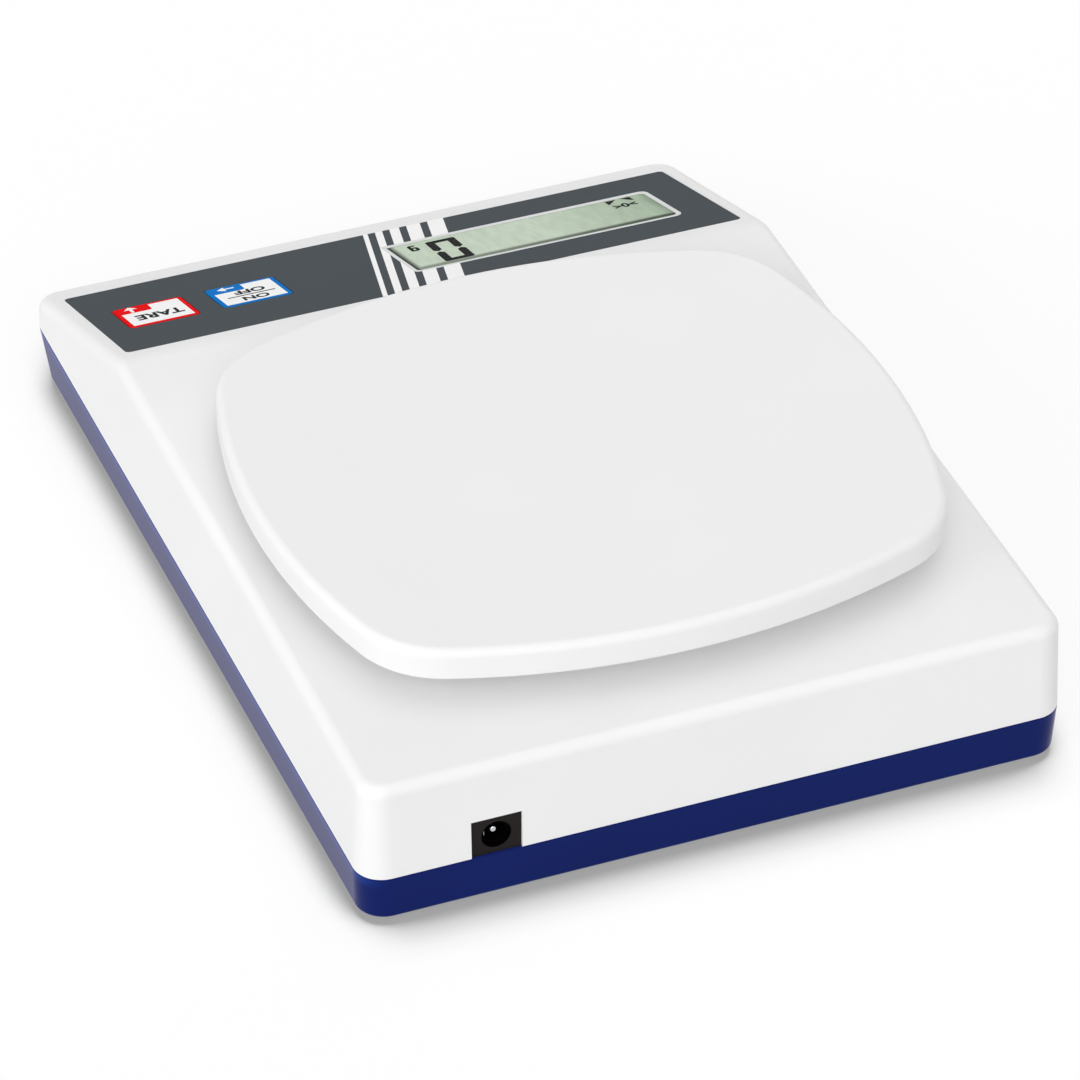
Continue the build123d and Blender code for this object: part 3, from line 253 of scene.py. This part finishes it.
def tray_material():
    """Navy moulded plastic that pales at a low angle, with painted light making it bluer under the seam
    along the sides.
    """
    painted_band_start, painted_band_full = 3.6 * mm, 1.0 * mm  # how far under the seam
    sheen, sheen_roughness = 0.68, 0.3
    material = moulded("tray_plastic", navy_plastic, roughness=0.5, specular=0.03, drift=0.05)
    tree = material.node_tree
    shader = tree.nodes["Principled BSDF"]
    place = tree.nodes["Texture Coordinate"].outputs["Object"]
    height = add(tree, "SeparateXYZ", {"Vector": place}).outputs["Z"]
    seam = extent("top_cover", Vector((0, 0, 1)))[0]
    # Painted light: a bluer band just under the seam, on walls turned sideways only, for how the light
    # falls on the lip there
    edge = ranged(tree, height, seam - painted_band_start, seam - painted_band_full)
    facing = tree.nodes.new("ShaderNodeNewGeometry").outputs["True Normal"]
    sideways = add(tree, "SeparateXYZ", {"Vector": facing}).outputs["X"]
    edge = combined(tree, "MULTIPLY", edge, combined(tree, "MULTIPLY", sideways, sideways))
    navy = shader.inputs["Base Color"].links[0].from_socket
    tree.links.new(blended(tree, edge, navy, lip_painted_blue), shader.inputs["Base Color"])
    shader.inputs["Sheen Weight"].default_value = sheen
    shader.inputs["Sheen Roughness"].default_value = sheen_roughness
    shader.inputs["Sheen Tint"].default_value = sheen_white
    return material


def socket_material():
    """Black plastic, with painted shade turning its mouth and bore near black."""
    mouth_radius = 4.1 * mm
    painted_shade_end, plastic_start = 0.02 * mm, 0.12 * mm  # how far outside the mouth
    material = moulded("socket_plastic", socket_black, roughness=0.5, specular=0.03)
    tree = material.node_tree
    shader = tree.nodes["Principled BSDF"]
    place = tree.nodes["Texture Coordinate"].outputs["Object"]
    low, high = (Vector(corner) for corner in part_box("socket_pin"))
    axis = (low + high) / 2
    flat = add(tree, "Mapping", {"Vector": place, "Scale": (1, 0, 1), "Location": (-axis.x, 0, -axis.z)})
    radius = add(tree, "VectorMath", {0: flat.outputs["Vector"]}, operation="LENGTH").outputs["Value"]
    # Painted shade: near black within the mouth's radius, the plastic's own colour just outside it
    face = ranged(tree, radius, mouth_radius + painted_shade_end, mouth_radius + plastic_start)
    plastic = shader.inputs["Base Color"].links[0].from_socket
    tree.links.new(blended(tree, face, bore_painted_shade, plastic), shader.inputs["Base Color"])
    return material


def display_material():
    """Pale green display glass, faintly brushed, shaded at its left, rear and right edges."""
    brush_size, brush_stretch, brush_turn = 9 * mm, (4, 1, 1), (0, 0, radians(28))
    shade_drift, green_drift = 0.09, 0.07
    lit_reach = 40 * mm
    # How far inside the edge each shade starts and is full, and how deep it is
    rear_start, rear_full = 6.0 * mm, 3.5 * mm
    rear_thinning, rear_thin, rear_left_over = 3.0 * mm, 1.4 * mm, 0.5
    rear_corner, rear_depth_left, rear_depth_right = 7 * mm, 0.9, 0.6
    right_start, right_full, right_depth = 2.8 * mm, 0.6 * mm, 0.95
    left_start, left_full, left_depth = 4.0 * mm, 1.8 * mm, 0.3
    roughness, specular = 0.5, 0.03
    material, tree, shader, place = new_material("display_glass")
    left, front, right, rear = (edge * mm for edge in face_of("display_window"))
    across = add(tree, "VectorMath", {0: place, 1: panel_across}, operation="DOT_PRODUCT").outputs["Value"]
    along = add(tree, "VectorMath", {0: place, 1: panel_up}, operation="DOT_PRODUCT").outputs["Value"]
    top = panel_front + rear
    brushed = noise(tree, stretched(tree, place, brush_stretch, brush_turn), brush_size, detail=6.0)
    lit = ranged(tree, across, left, left + lit_reach)
    unlit_green = mottled(tree, brushed, display_shade, shade_drift)
    lit_green = mottled(tree, brushed, display_green, green_drift)
    green = blended(tree, lit, unlit_green, lit_green)
    rise = ranged(tree, along, top - rear_start, top - rear_full, kind="SMOOTHSTEP")
    fall = ranged(
        tree, along, top - rear_thinning, top - rear_thin, low=1.0, high=rear_left_over, kind="SMOOTHSTEP",
    )
    depth = ranged(tree, across, left + rear_corner, right, rear_depth_left, rear_depth_right)
    rear_shade = combined(tree, "MULTIPLY", combined(tree, "MULTIPLY", rise, fall), depth)
    right_shade = ranged(
        tree, across, right - right_start, right - right_full, high=right_depth, kind="SMOOTHSTEP",
    )
    left_shade = ranged(tree, across, left + left_start, left + left_full, high=left_depth)
    shade = combined(tree, "MAXIMUM", combined(tree, "MAXIMUM", rear_shade, right_shade), left_shade)
    tree.links.new(blended(tree, shade, green, display_dark), shader.inputs["Base Color"])
    shader.inputs["Roughness"].default_value = roughness
    shader.inputs["Specular IOR Level"].default_value = specular
    return material


def window_material():
    """Clear acrylic: nearly unseen, with a hint of haze."""
    haze_size, opacity, specular = 8 * mm, 0.02, 0.1
    material, tree, shader, place = new_material("clear_window")
    haze = noise(tree, place, haze_size)
    glossed(tree, shader, haze, roughness=0.13, drift=0.03)
    shader.inputs["Base Color"].default_value = pane_grey
    shader.inputs["Alpha"].default_value = opacity
    shader.inputs["Specular IOR Level"].default_value = specular
    return material


materials = {
    "cover": moulded("cover_plastic", white_plastic, roughness=0.45, specular=0.25, drift=0.01),
    "pan": moulded("pan_plastic", white_plastic, roughness=0.40, specular=0.25, grain=0.7 * mm, drift=0.01),
    "tray": tray_material(),
    "panel": printed("panel_foil", panel_grey),
    "print": printed("white_print", print_white),
    "border": printed("border_print", border_white),
    "red": printed("red_foil", key_red),
    "blue": printed("blue_foil", key_blue),
    "legend": printed("legend_print", legend_grey),
    "segment": printed("segment_print", segment_black, roughness=0.5),
    "display": display_material(),
    "window": window_material(),
    "socket": socket_material(),
    "black": moulded("black_plastic", chip_black, roughness=0.5),
    "rubber": moulded("black_rubber", rubber_black, roughness=0.75, specular=0.3, depth=0.01 * mm),
    "foam": moulded("grey_foam", foam_grey, roughness=0.95, specular=0.1, grain=1.2 * mm, depth=0.08 * mm),
    "board": banded("board_mask", board_green, board_light, 2.5 * mm, 0.4, (1, 1, 1)),
    "zebra": banded("zebra_rubber", zebra_pink, zebra_black, 0.4 * mm, 0.7, (1, 0, 0)),
    "steel": machined("zinc_plate", steel_grey, roughness=0.32),
    "tin": machined("tin_plate", steel_grey, roughness=0.28, stretch=(8, 8, 1)),
    "cast": machined("cast_alloy", cast_grey, roughness=0.5, stretch=(1, 1, 1), depth=0.02 * mm),
    "aluminium": machined("cell_alloy", aluminium_grey, roughness=0.3, stretch=(12, 1, 12)),
    "pin": machined("pin_plate", steel_grey, roughness=0.12, stretch=(10, 1, 10), depth=0.0005 * mm),
    "gauge": moulded("gauge_film", gauge_amber, roughness=0.35, specular=0.5, drift=0.08),
    "nylon": moulded("natural_nylon", nylon_white, roughness=0.5, drift=0.04),
    "lead": moulded("lead_sheath", lead_red, roughness=0.45, drift=0.05),
    "cable": moulded("cable_sheath", cable_grey, roughness=0.5, drift=0.05),
    "can": moulded("capacitor_sleeve", can_blue, roughness=0.3, specular=0.5, drift=0.06),
    "battery": moulded("battery_jacket", battery_dark, roughness=0.3, specular=0.6, drift=0.08),
}

# Every carried-over node gets its finish

finish_of = {
    "cover": ["top_cover"],
    "pan": ["weighing_pan"],
    "tray": ["base_tray", "battery_door"],
    "panel": ["control_overlay"],
    "red": ["tare_key"],
    "blue": ["power_key"],
    "display": ["lcd_glass"],
    "window": ["display_window"],
    "socket": ["dc_socket"],
    "pin": ["socket_pin"],
    "black": [
        "lcd_holder", "microcontroller", "converter_chip", "tare_switch", "power_switch",
        "tare_switch_stem", "power_switch_stem", "battery_snap",
    ],
    "rubber": ["rubber_feet", "post_caps"],
    "foam": ["battery_pad"],
    "board": ["main_board", "power_board"],
    "zebra": ["zebra_strips"],
    "steel": [
        "board_screws", "cell_screws", "carrier_screws", "stop_screws", "stop_nuts",
        "case_screws", "power_board_screws", "cell_spacer", "carrier_spacer",
    ],
    "tin": ["converter_shield", "crystal", "socket_legs"],
    "cast": ["pan_carrier"],
    "aluminium": ["load_cell"],
    "gauge": ["strain_gauges"],
    "nylon": ["board_plugs"],
    "lead": ["battery_leads", "power_leads"],
    "cable": ["cell_cable"],
    "can": ["capacitor"],
    "battery": ["battery"],
}
for finish, names in finish_of.items():
    for name in names:
        for slot in frame["nodes"][name].material_slots:
            slot.material = materials[finish]


# Printed marks: thin closed sheets on the panel, on a key or just inside the display's pane

print_thickness = 0.02
print_clearance = 0.01
weld_distance = 0.001
letter_size = 5.0


def lay(name, flat, lift, finish, body, box=None):
    """Lays flat curve or text data on the panel, its underside this far over the panel's face.

    With a box, the outline is first stretched to fill it: left, front, right and rear.
    """
    source = bpy.data.objects.new(name + "_source", flat)
    bpy.context.scene.collection.objects.link(source)
    bpy.context.view_layer.update()
    graph = bpy.context.evaluated_depsgraph_get()
    mesh = bpy.data.meshes.new_from_object(source.evaluated_get(graph))
    bpy.data.objects.remove(source)
    if box:
        for axis, low, high in ((0, box[0], box[2]), (1, box[1], box[3])):
            start = min(vertex.co[axis] for vertex in mesh.vertices)
            span = max(vertex.co[axis] for vertex in mesh.vertices) - start
            for vertex in mesh.vertices:
                vertex.co[axis] = low + (vertex.co[axis] - start) * (high - low) / span
    underside = min(vertex.co.z for vertex in mesh.vertices)
    origin = panel_up * panel_front + panel_normal * (panel_face + (lift - underside) * mm)
    turn = Matrix((panel_across, panel_up, panel_normal)).transposed().to_4x4()
    mesh.transform(Matrix.Translation(origin) @ turn @ Matrix.Scale(mm, 4))
    joined = bmesh.new()
    joined.from_mesh(mesh)
    bmesh.ops.remove_doubles(joined, verts=joined.verts, dist=weld_distance * mm)
    bmesh.ops.recalc_face_normals(joined, faces=joined.faces)
    joined.to_mesh(mesh)
    joined.free()
    mesh.name = name
    mesh.materials.clear()
    mesh.materials.append(materials[finish])
    piece = bpy.data.objects.new(name, mesh)
    bpy.context.scene.collection.objects.link(piece)
    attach(piece, body)


def outlines(name, shapes, thickness=print_thickness):
    """Closed shapes as one flat sheet of curve data; a shape inside another one is a hole in it."""
    curve = bpy.data.curves.new(name, "CURVE")
    curve.dimensions = "2D"
    curve.fill_mode = "BOTH"
    curve.extrude = thickness / 2
    for shape in shapes:
        spline = curve.splines.new("POLY")
        spline.points.add(len(shape) - 1)
        for point, (x, t) in zip(spline.points, shape):
            point.co = (x, t, 0, 1)
        spline.use_cyclic_u = True
    return curve


def letters(name, text, weight):
    """Plain letters, made bolder by this share of their size."""
    curve = bpy.data.curves.new(name, "FONT")
    curve.body = text
    curve.size = letter_size
    curve.offset = weight * letter_size
    curve.extrude = print_thickness / 2
    return curve


def rounded(left, front, right, rear, radii):
    """A rectangle's outline with its own radius at each corner, from the front left one round."""
    # Each corner's place, the way into the shape from it, and the angle at which its arc starts
    corners = [
        (left, front, 1, 1, 180), (right, front, -1, 1, 270),
        (right, rear, -1, -1, 0), (left, rear, 1, -1, 90),
    ]
    steps = 8
    outline = []
    for (x, t, into_x, into_t, start), radius in zip(corners, radii):
        for step in range(steps + 1):
            angle = radians(start + 90 * step / steps)
            outline.append(
                (x + into_x * radius + radius * cos(angle), t + into_t * radius + radius * sin(angle))
            )
    return outline


def clipped(outline, axis, limit, keep):
    """The part of a convex outline past a limit along one axis: keep is 1 for above it, -1 for below."""
    kept = []
    for start, end in zip(outline, outline[1:] + outline[:1]):
        inside_start = keep * (start[axis] - limit) >= 0
        inside_end = keep * (end[axis] - limit) >= 0
        if inside_start:
            kept.append(start)
        if inside_start != inside_end:
            share = (limit - start[axis]) / (end[axis] - start[axis])
            kept.append(tuple(a + share * (b - a) for a, b in zip(start, end)))
    return kept


# White line round the display; at the end towards the keys it lies on the foil beside the pane

pane_left, pane_front, pane_right, pane_rear = face_of("display_window")
pane_lift = lift_of("display_window")
edge_slack = 0.05
border_left = pane_left + edge_slack
border_front = pane_front - 2 * edge_slack
border_right = pane_right + 1.15
border_rear = pane_rear - 2 * edge_slack
line_left, line_front, line_rear = 1.4, 2.1, 1.2
hole_right = pane_right - edge_slack
# Radii from the front left corner one round
outer_radii = [2.6, 0.6, 2.0, 2.6]
hole_radii = [1.6, 0.2, 1.0, 1.8]
border_shapes = [
    rounded(border_left, border_front, border_right, border_rear, outer_radii),
    rounded(
        border_left + line_left, border_front + line_front, hole_right, border_rear - line_rear, hole_radii,
    ),
]
border_sheet = outlines("display_border", border_shapes, print_thickness + print_clearance - pane_lift)
lay("display_border", border_sheet, pane_lift, "border", "body")

# Slanted stripes, left out where the display lies

stripe_slope = 0.2452
stripe_lean = stripe_slope * panel_depth
# The left and right edge of each stripe where it meets the foil's front edge
stripe_edges = [(-0.18, 1.29), (-4.71, -2.45), (-9.96, -6.94), (-16.49, -12.23), (-23.81, -18.78)]


def stripe_shapes():
    """Each stripe from edge to edge of the foil, in front of, behind and beside the display."""
    shapes = []
    for left, right in stripe_edges:
        rear_left, rear_right = left + stripe_lean, right + stripe_lean
        stripe = [(left, 0), (right, 0), (rear_right, panel_depth), (rear_left, panel_depth)]
        beside = clipped(clipped(stripe, 1, border_front, 1), 1, border_rear, -1)
        shapes += [
            clipped(stripe, 1, border_front, -1),
            clipped(stripe, 1, border_rear, 1),
            clipped(beside, 0, border_right, 1),
        ]
    return [shape for shape in shapes if len(shape) > 2]


stripe_sheet = outlines("panel_stripes", stripe_shapes())
lay("panel_stripes", stripe_sheet, print_clearance, "print", "body")

# The display's picture, just inside the pane: the green ground, a nought, its unit and the zero marks

ground_sink, mark_sink = 0.08, 0.05  # how far under the pane's face the two undersides lie
ground_lift = pane_lift - ground_sink
mark_lift = pane_lift - mark_sink
ground_margin = 0.4
ground_right_margin = 0.1
ground_radii = [2.2, 0.6, 2.2, 2.2]
ground_shape = rounded(
    pane_left + ground_margin, pane_front + ground_margin,
    pane_right - ground_right_margin, pane_rear - ground_margin, ground_radii,
)
lay("display_ground", outlines("display_ground", [ground_shape]), ground_lift, "display", "body")

digit_left = pane_left + 62.0
digit_front = pane_front + 4.3
digit_width = 9.0
digit_height = 22.6
digit_lean = 1.2
segment_width = 2.5
segment_gap = 0.3
segment_bevel = 0.5


def nought():
    """A nought from two leaning halves, each of three joined segments, with a small gap between them."""
    wide, gap, bevel, half = segment_width, segment_gap, segment_bevel, digit_height / 2
    shoulder = half - wide / 2 - gap
    lower = [
        (0, bevel), (bevel, 0), (digit_width - bevel, 0), (digit_width, bevel),
        (digit_width, shoulder), (digit_width - wide / 2, half - gap), (digit_width - wide, shoulder),
        (digit_width - wide, wide), (wide, wide), (wide, shoulder), (wide / 2, half - gap), (0, shoulder),
    ]
    return [
        [(digit_left + x + digit_lean * t / digit_height, digit_front + t) for x, t in shape]
        for shape in (lower, [(x, digit_height - t) for x, t in lower])
    ]


def mark(name, flat, box=None):
    """One dark mark on the display; its box is given from the pane's front left corner."""
    if box:
        box = [edge + start for edge, start in zip(box, (pane_left, pane_front) * 2)]
    lay(name, flat, mark_lift, "segment", "body", box)


# Boxes of the marks, from the pane's front left corner
unit_box = (74.1, 4.4, 76.8, 10.4)
zero_box = (6.4, 7.5, 13.5, 11.8)
corner_box = (6.0, 2.5, 13.8, 6.5)
zero_weight = 0.04

mark("display_numeral", outlines("display_numeral", nought()))
# The unit is a plain g of one storey, in the display's squared style
unit_outline = [
    (2.7, 6.7), (2.7, 0.9), (2.4, 0.3), (1.9, 0), (0.3, 0), (0.3, 1.2), (1.5, 1.2), (1.7, 1.4), (1.7, 2.4),
    (0.8, 2.4), (0.2, 2.8), (0, 3.4), (0, 5.7), (0.2, 6.3), (0.8, 6.7),
]
unit_bowl_radius = 0.3
unit_bowl = rounded(1.0, 3.6, 1.7, 5.5, [unit_bowl_radius] * 4)
mark("display_unit", outlines("display_unit", [unit_outline, unit_bowl]), unit_box)
mark("display_zero_mark", letters("display_zero_mark", ">0<", zero_weight), zero_box)
corner_shapes = [[(0, 0), (3.0, 0), (0, 4.0)], [(4.4, 0), (7.8, 0), (7.8, 4.0)]]
mark("display_corner_marks", outlines("display_corner_marks", corner_shapes), corner_box)

# Key fields with a corner tab, an arrow and a legend, all placed from the key's front left corner

field_border = 1.3
tab_width = 10.6
tab_depth = 6.5
tab_radius = 1.0
tab_steps = 6
arrow_head_share = 0.46
arrow_stem = 0.9
legend_weight = 0.035
bar_radius = 0.1


def arrow_shape(x, t, heading, length, head_width):
    """A plain arrow with its middle at this place, turned to this heading in the panel's plane."""
    half = length / 2
    head = arrow_head_share * length
    stem = arrow_stem / 2
    wing = head_width / 2
    shape = [
        (-half, -stem), (half - head, -stem), (half - head, -wing), (half, 0),
        (half - head, wing), (half - head, stem), (-half, stem),
    ]
    return [
        (x + along * cos(heading) - across * sin(heading), t + along * sin(heading) + across * cos(heading))
        for along, across in shape
    ]


def dress_key(key, body, arrow, legends, bars):
    """The white field of a key with its arrow, words and lines.

    The arrow is its place, heading, length and head width. Each legend is the end of its name, its text
    and its box, and each bar is the end of its name and its box.
    """
    left, front, right, rear = face_of(key)
    lift = lift_of(key) + print_clearance
    over_field = lift + print_thickness + print_clearance
    tab_left = right - tab_width
    arc_x, arc_t = tab_left + tab_radius, front + tab_depth - tab_radius
    corner = [
        (arc_x - tab_radius * cos(angle), arc_t + tab_radius * sin(angle))
        for angle in (step * pi / 2 / tab_steps for step in range(tab_steps + 1))
    ]
    field = [(left + field_border, front + field_border), (tab_left, front + field_border)] + corner
    field += [
        (right - field_border, front + tab_depth),
        (right - field_border, rear - field_border),
        (left + field_border, rear - field_border),
    ]
    name = key.split("_")[0]
    lay(key + "_field", outlines(key + "_field", [field]), lift, "print", body)
    x, t, heading, length, head_width = arrow
    shape = arrow_shape(left + x, front + t, heading, length, head_width)
    lay(name + "_arrow", outlines(name + "_arrow", [shape]), lift, "print", body)
    for ending, text, box in legends:
        place = [edge + start for edge, start in zip(box, (left, front) * 2)]
        flat = letters(name + ending, text, legend_weight)
        lay(name + ending, flat, over_field, "legend", body, place)
    for ending, (low_x, low_t, high_x, high_t) in bars:
        shape = rounded(left + low_x, front + low_t, left + high_x, front + high_t, [bar_radius] * 4)
        lay(name + ending, outlines(name + ending, [shape]), over_field, "legend", body)


dress_key(
    "tare_key", "tare_button", (15.85, 3.15, -pi / 2, 5.7, 4.0),
    [("_legend", "TARE", (2.95, 9.9, 16.85, 15.2))],
    [],
)
dress_key(
    "power_key", "power_button", (15.1, 2.7, 0, 5.1, 4.0),
    [("_legend_on", "ON", (5.95, 14.1, 13.75, 17.9)), ("_legend_off", "OFF", (5.15, 6.9, 14.35, 11.0))],
    [("_legend_bar", (3.05, 12.1, 17.35, 12.8))],
)


# Spring contact of the power inlet, in the bore beside the pin, clear of the plug's sleeve


def inlet_contact():
    """A thin bowed leaf along the bore's +X wall."""
    pin_low, pin_high = (Vector(corner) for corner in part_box("socket_pin"))
    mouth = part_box("dc_socket")[1][1]
    out_of_axis, over_axis = 2.94 * mm, 0.25 * mm
    height = (pin_low.z + pin_high.z) / 2 + over_axis
    wall = (pin_low.x + pin_high.x) / 2 + out_of_axis
    half_width = 0.6 * mm
    thickness = 0.1 * mm
    bow = 0.18 * mm
    first, last, steps = 1.1 * mm, 7.0 * mm, 12
    built = bmesh.new()
    rings = []
    for step in range(steps + 1):
        share = step / steps
        y = mouth - first - (last - first) * share
        x = wall - bow * sin(pi * share)
        corners = [(x + out, y, height + up) for out, up in (
            (0, -half_width), (thickness, -half_width), (thickness, half_width), (0, half_width),
        )]
        rings.append([built.verts.new(corner) for corner in corners])
    for near, far in zip(rings, rings[1:]):
        for index in range(4):
            after = (index + 1) % 4
            built.faces.new((near[index], near[after], far[after], far[index]))
    built.faces.new(rings[0])
    built.faces.new(rings[-1])
    bmesh.ops.recalc_face_normals(built, faces=built.faces)
    mesh = bpy.data.meshes.new("inlet_contact")
    built.to_mesh(mesh)
    built.free()
    mesh.materials.append(materials["pin"])
    piece = bpy.data.objects.new("inlet_contact", mesh)
    bpy.context.scene.collection.objects.link(piece)
    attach(piece, "body")


inlet_contact()

# Floor, world and lamps

floor_reach = 8.0
bounce_tone = 0.8
world_level = 0.36
contact_reach = 18 * mm
contact_samples = 32
glow_share = 0.75
# The floor's tones by how open it is, behind the body and beside it, and where beside starts and is full
side_start, side_full = -10 * mm, 4 * mm
contact_steps = (0.50, 0.535, 0.57, 0.605, 0.64, 0.675, 0.71, 0.775, 0.835, 0.89, 1.0)
rear_tones = (0.40, 0.478, 0.552, 0.62, 0.687, 0.728, 0.77, 0.845, 0.913, 0.95, 1.0)
side_tones = (0.37, 0.51, 0.644, 0.742, 0.82, 0.90, 0.95, 1.0, 1.0, 1.0, 1.0)


def seen_directly(tree):
    """1 for what the camera, a mirror or clear glass sees, and 0 for light that falls on the object."""
    path = tree.nodes.new("ShaderNodeLightPath")
    mirrored = combined(tree, "MAXIMUM", path.outputs["Is Camera Ray"], path.outputs["Is Glossy Ray"])
    return combined(tree, "MAXIMUM", mirrored, path.outputs["Is Transmission Ray"])


def white_floor():
    """A white floor with the object's soft contact shadow, unseen from below."""
    mesh = bpy.data.meshes.new("floor")
    corners = [(x * floor_reach, y * floor_reach, 0) for x, y in ((-1, -1), (1, -1), (1, 1), (-1, 1))]
    mesh.from_pydata(corners, [], [(0, 1, 2, 3)])
    floor = bpy.data.objects.new("floor", mesh)
    bpy.context.scene.collection.objects.link(floor)
    material = bpy.data.materials.new("floor_white")
    material.use_nodes = True
    tree = material.node_tree
    tree.nodes.clear()
    occlusion = add(tree, "AmbientOcclusion", {"Distance": contact_reach}, samples=contact_samples)
    openness = occlusion.outputs["AO"]

    def graded(tones):
        """The floor's tone where this much of the sky is open over it."""
        ramp = add(tree, "ValToRGB", {"Fac": openness})
        stops = ramp.color_ramp.elements
        while len(stops) < len(tones):
            stops.new(1.0)
        for stop, step, tone in zip(stops, contact_steps, tones):
            stop.position = step
            stop.color = (tone, tone, tone, 1)
        return ramp.outputs["Color"]

    place = tree.nodes.new("ShaderNodeTexCoord").outputs["Object"]
    across = add(tree, "SeparateXYZ", {"Vector": place}).outputs["X"]
    half_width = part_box("base_tray")[1][0]
    outward = combined(tree, "ABSOLUTE", across, 0.0)
    beside = ranged(tree, outward, half_width + side_start, half_width + side_full)
    tone = blended(tree, beside, graded(rear_tones), graded(side_tones))
    shaded = add(tree, "BsdfDiffuse", {"Color": tone}).outputs["BSDF"]
    glow = add(tree, "Emission", {"Color": tone, "Strength": 1.0}).outputs["Emission"]
    seen = add(tree, "MixShader", {"Fac": glow_share, 1: shaded, 2: glow}).outputs["Shader"]
    bounce = add(tree, "BsdfDiffuse", {"Color": (bounce_tone, bounce_tone, bounce_tone, 1)}).outputs["BSDF"]
    upper = add(tree, "MixShader", {"Fac": seen_directly(tree), 1: bounce, 2: seen}).outputs["Shader"]
    under = tree.nodes.new("ShaderNodeNewGeometry").outputs["Backfacing"]
    clear = add(tree, "BsdfTransparent", {}).outputs["BSDF"]
    both = add(tree, "MixShader", {"Fac": under, 1: upper, 2: clear}).outputs["Shader"]
    add(tree, "OutputMaterial", {"Surface": both})
    mesh.materials.append(material)


def soft_sun(name, bearing, height, level, spread, shadow=True):
    """A wide soft lamp from this bearing, in degrees from +Y towards +X, and this height over the floor.

    The level is what it adds to a white face turned to it.
    """
    lamp = bpy.data.lights.new(name, "SUN")
    lamp.energy = level * pi
    lamp.angle = radians(spread)
    lamp.use_shadow = shadow
    item = bpy.data.objects.new(name, lamp)
    turn, rise = radians(bearing), radians(height)
    toward = Vector((sin(turn) * cos(rise), cos(turn) * cos(rise), sin(rise)))
    item.rotation_euler = toward.to_track_quat("Z", "Y").to_euler()
    bpy.context.scene.collection.objects.link(item)


white_floor()
soft_sun("key_lamp", bearing=15, height=32, level=0.37, spread=50)
soft_sun("side_lamp", bearing=80, height=10, level=0.50, spread=60)
soft_sun("front_lamp", bearing=-135, height=20, level=0.12, spread=60)
soft_sun("fill_lamp", bearing=0, height=90, level=0.28, spread=60, shadow=False)

world = bpy.data.worlds.new("plain_studio")
world.use_nodes = True
world_tree = world.node_tree
background = world_tree.nodes["Background"]
background.inputs["Color"].default_value = (1, 1, 1, 1)
brightness = ranged(world_tree, seen_directly(world_tree), 0.0, 1.0, world_level, 1.0)
world_tree.links.new(brightness, background.inputs["Strength"])
bpy.context.scene.world = world
bpy.context.scene.view_settings.view_transform = "Standard"

# Camera at the photograph's viewing angle

image_width = 1080
focal_pixels = 6218.0
sensor_width = 36.0
azimuth = radians(21.42)
elevation = radians(36.34)
camera_place = (0.50911, 1.30745, 1.03613)
camera_data = bpy.data.cameras.new("camera")
camera_data.sensor_width = sensor_width
camera_data.lens = sensor_width * focal_pixels / image_width
camera = bpy.data.objects.new("camera", camera_data)
camera.location = camera_place
to_camera = Vector((cos(elevation) * sin(azimuth), cos(elevation) * cos(azimuth), sin(elevation)))
camera.rotation_euler = to_camera.to_track_quat("Z", "Y").to_euler()
bpy.context.scene.collection.objects.link(camera)
bpy.context.scene.camera = camera
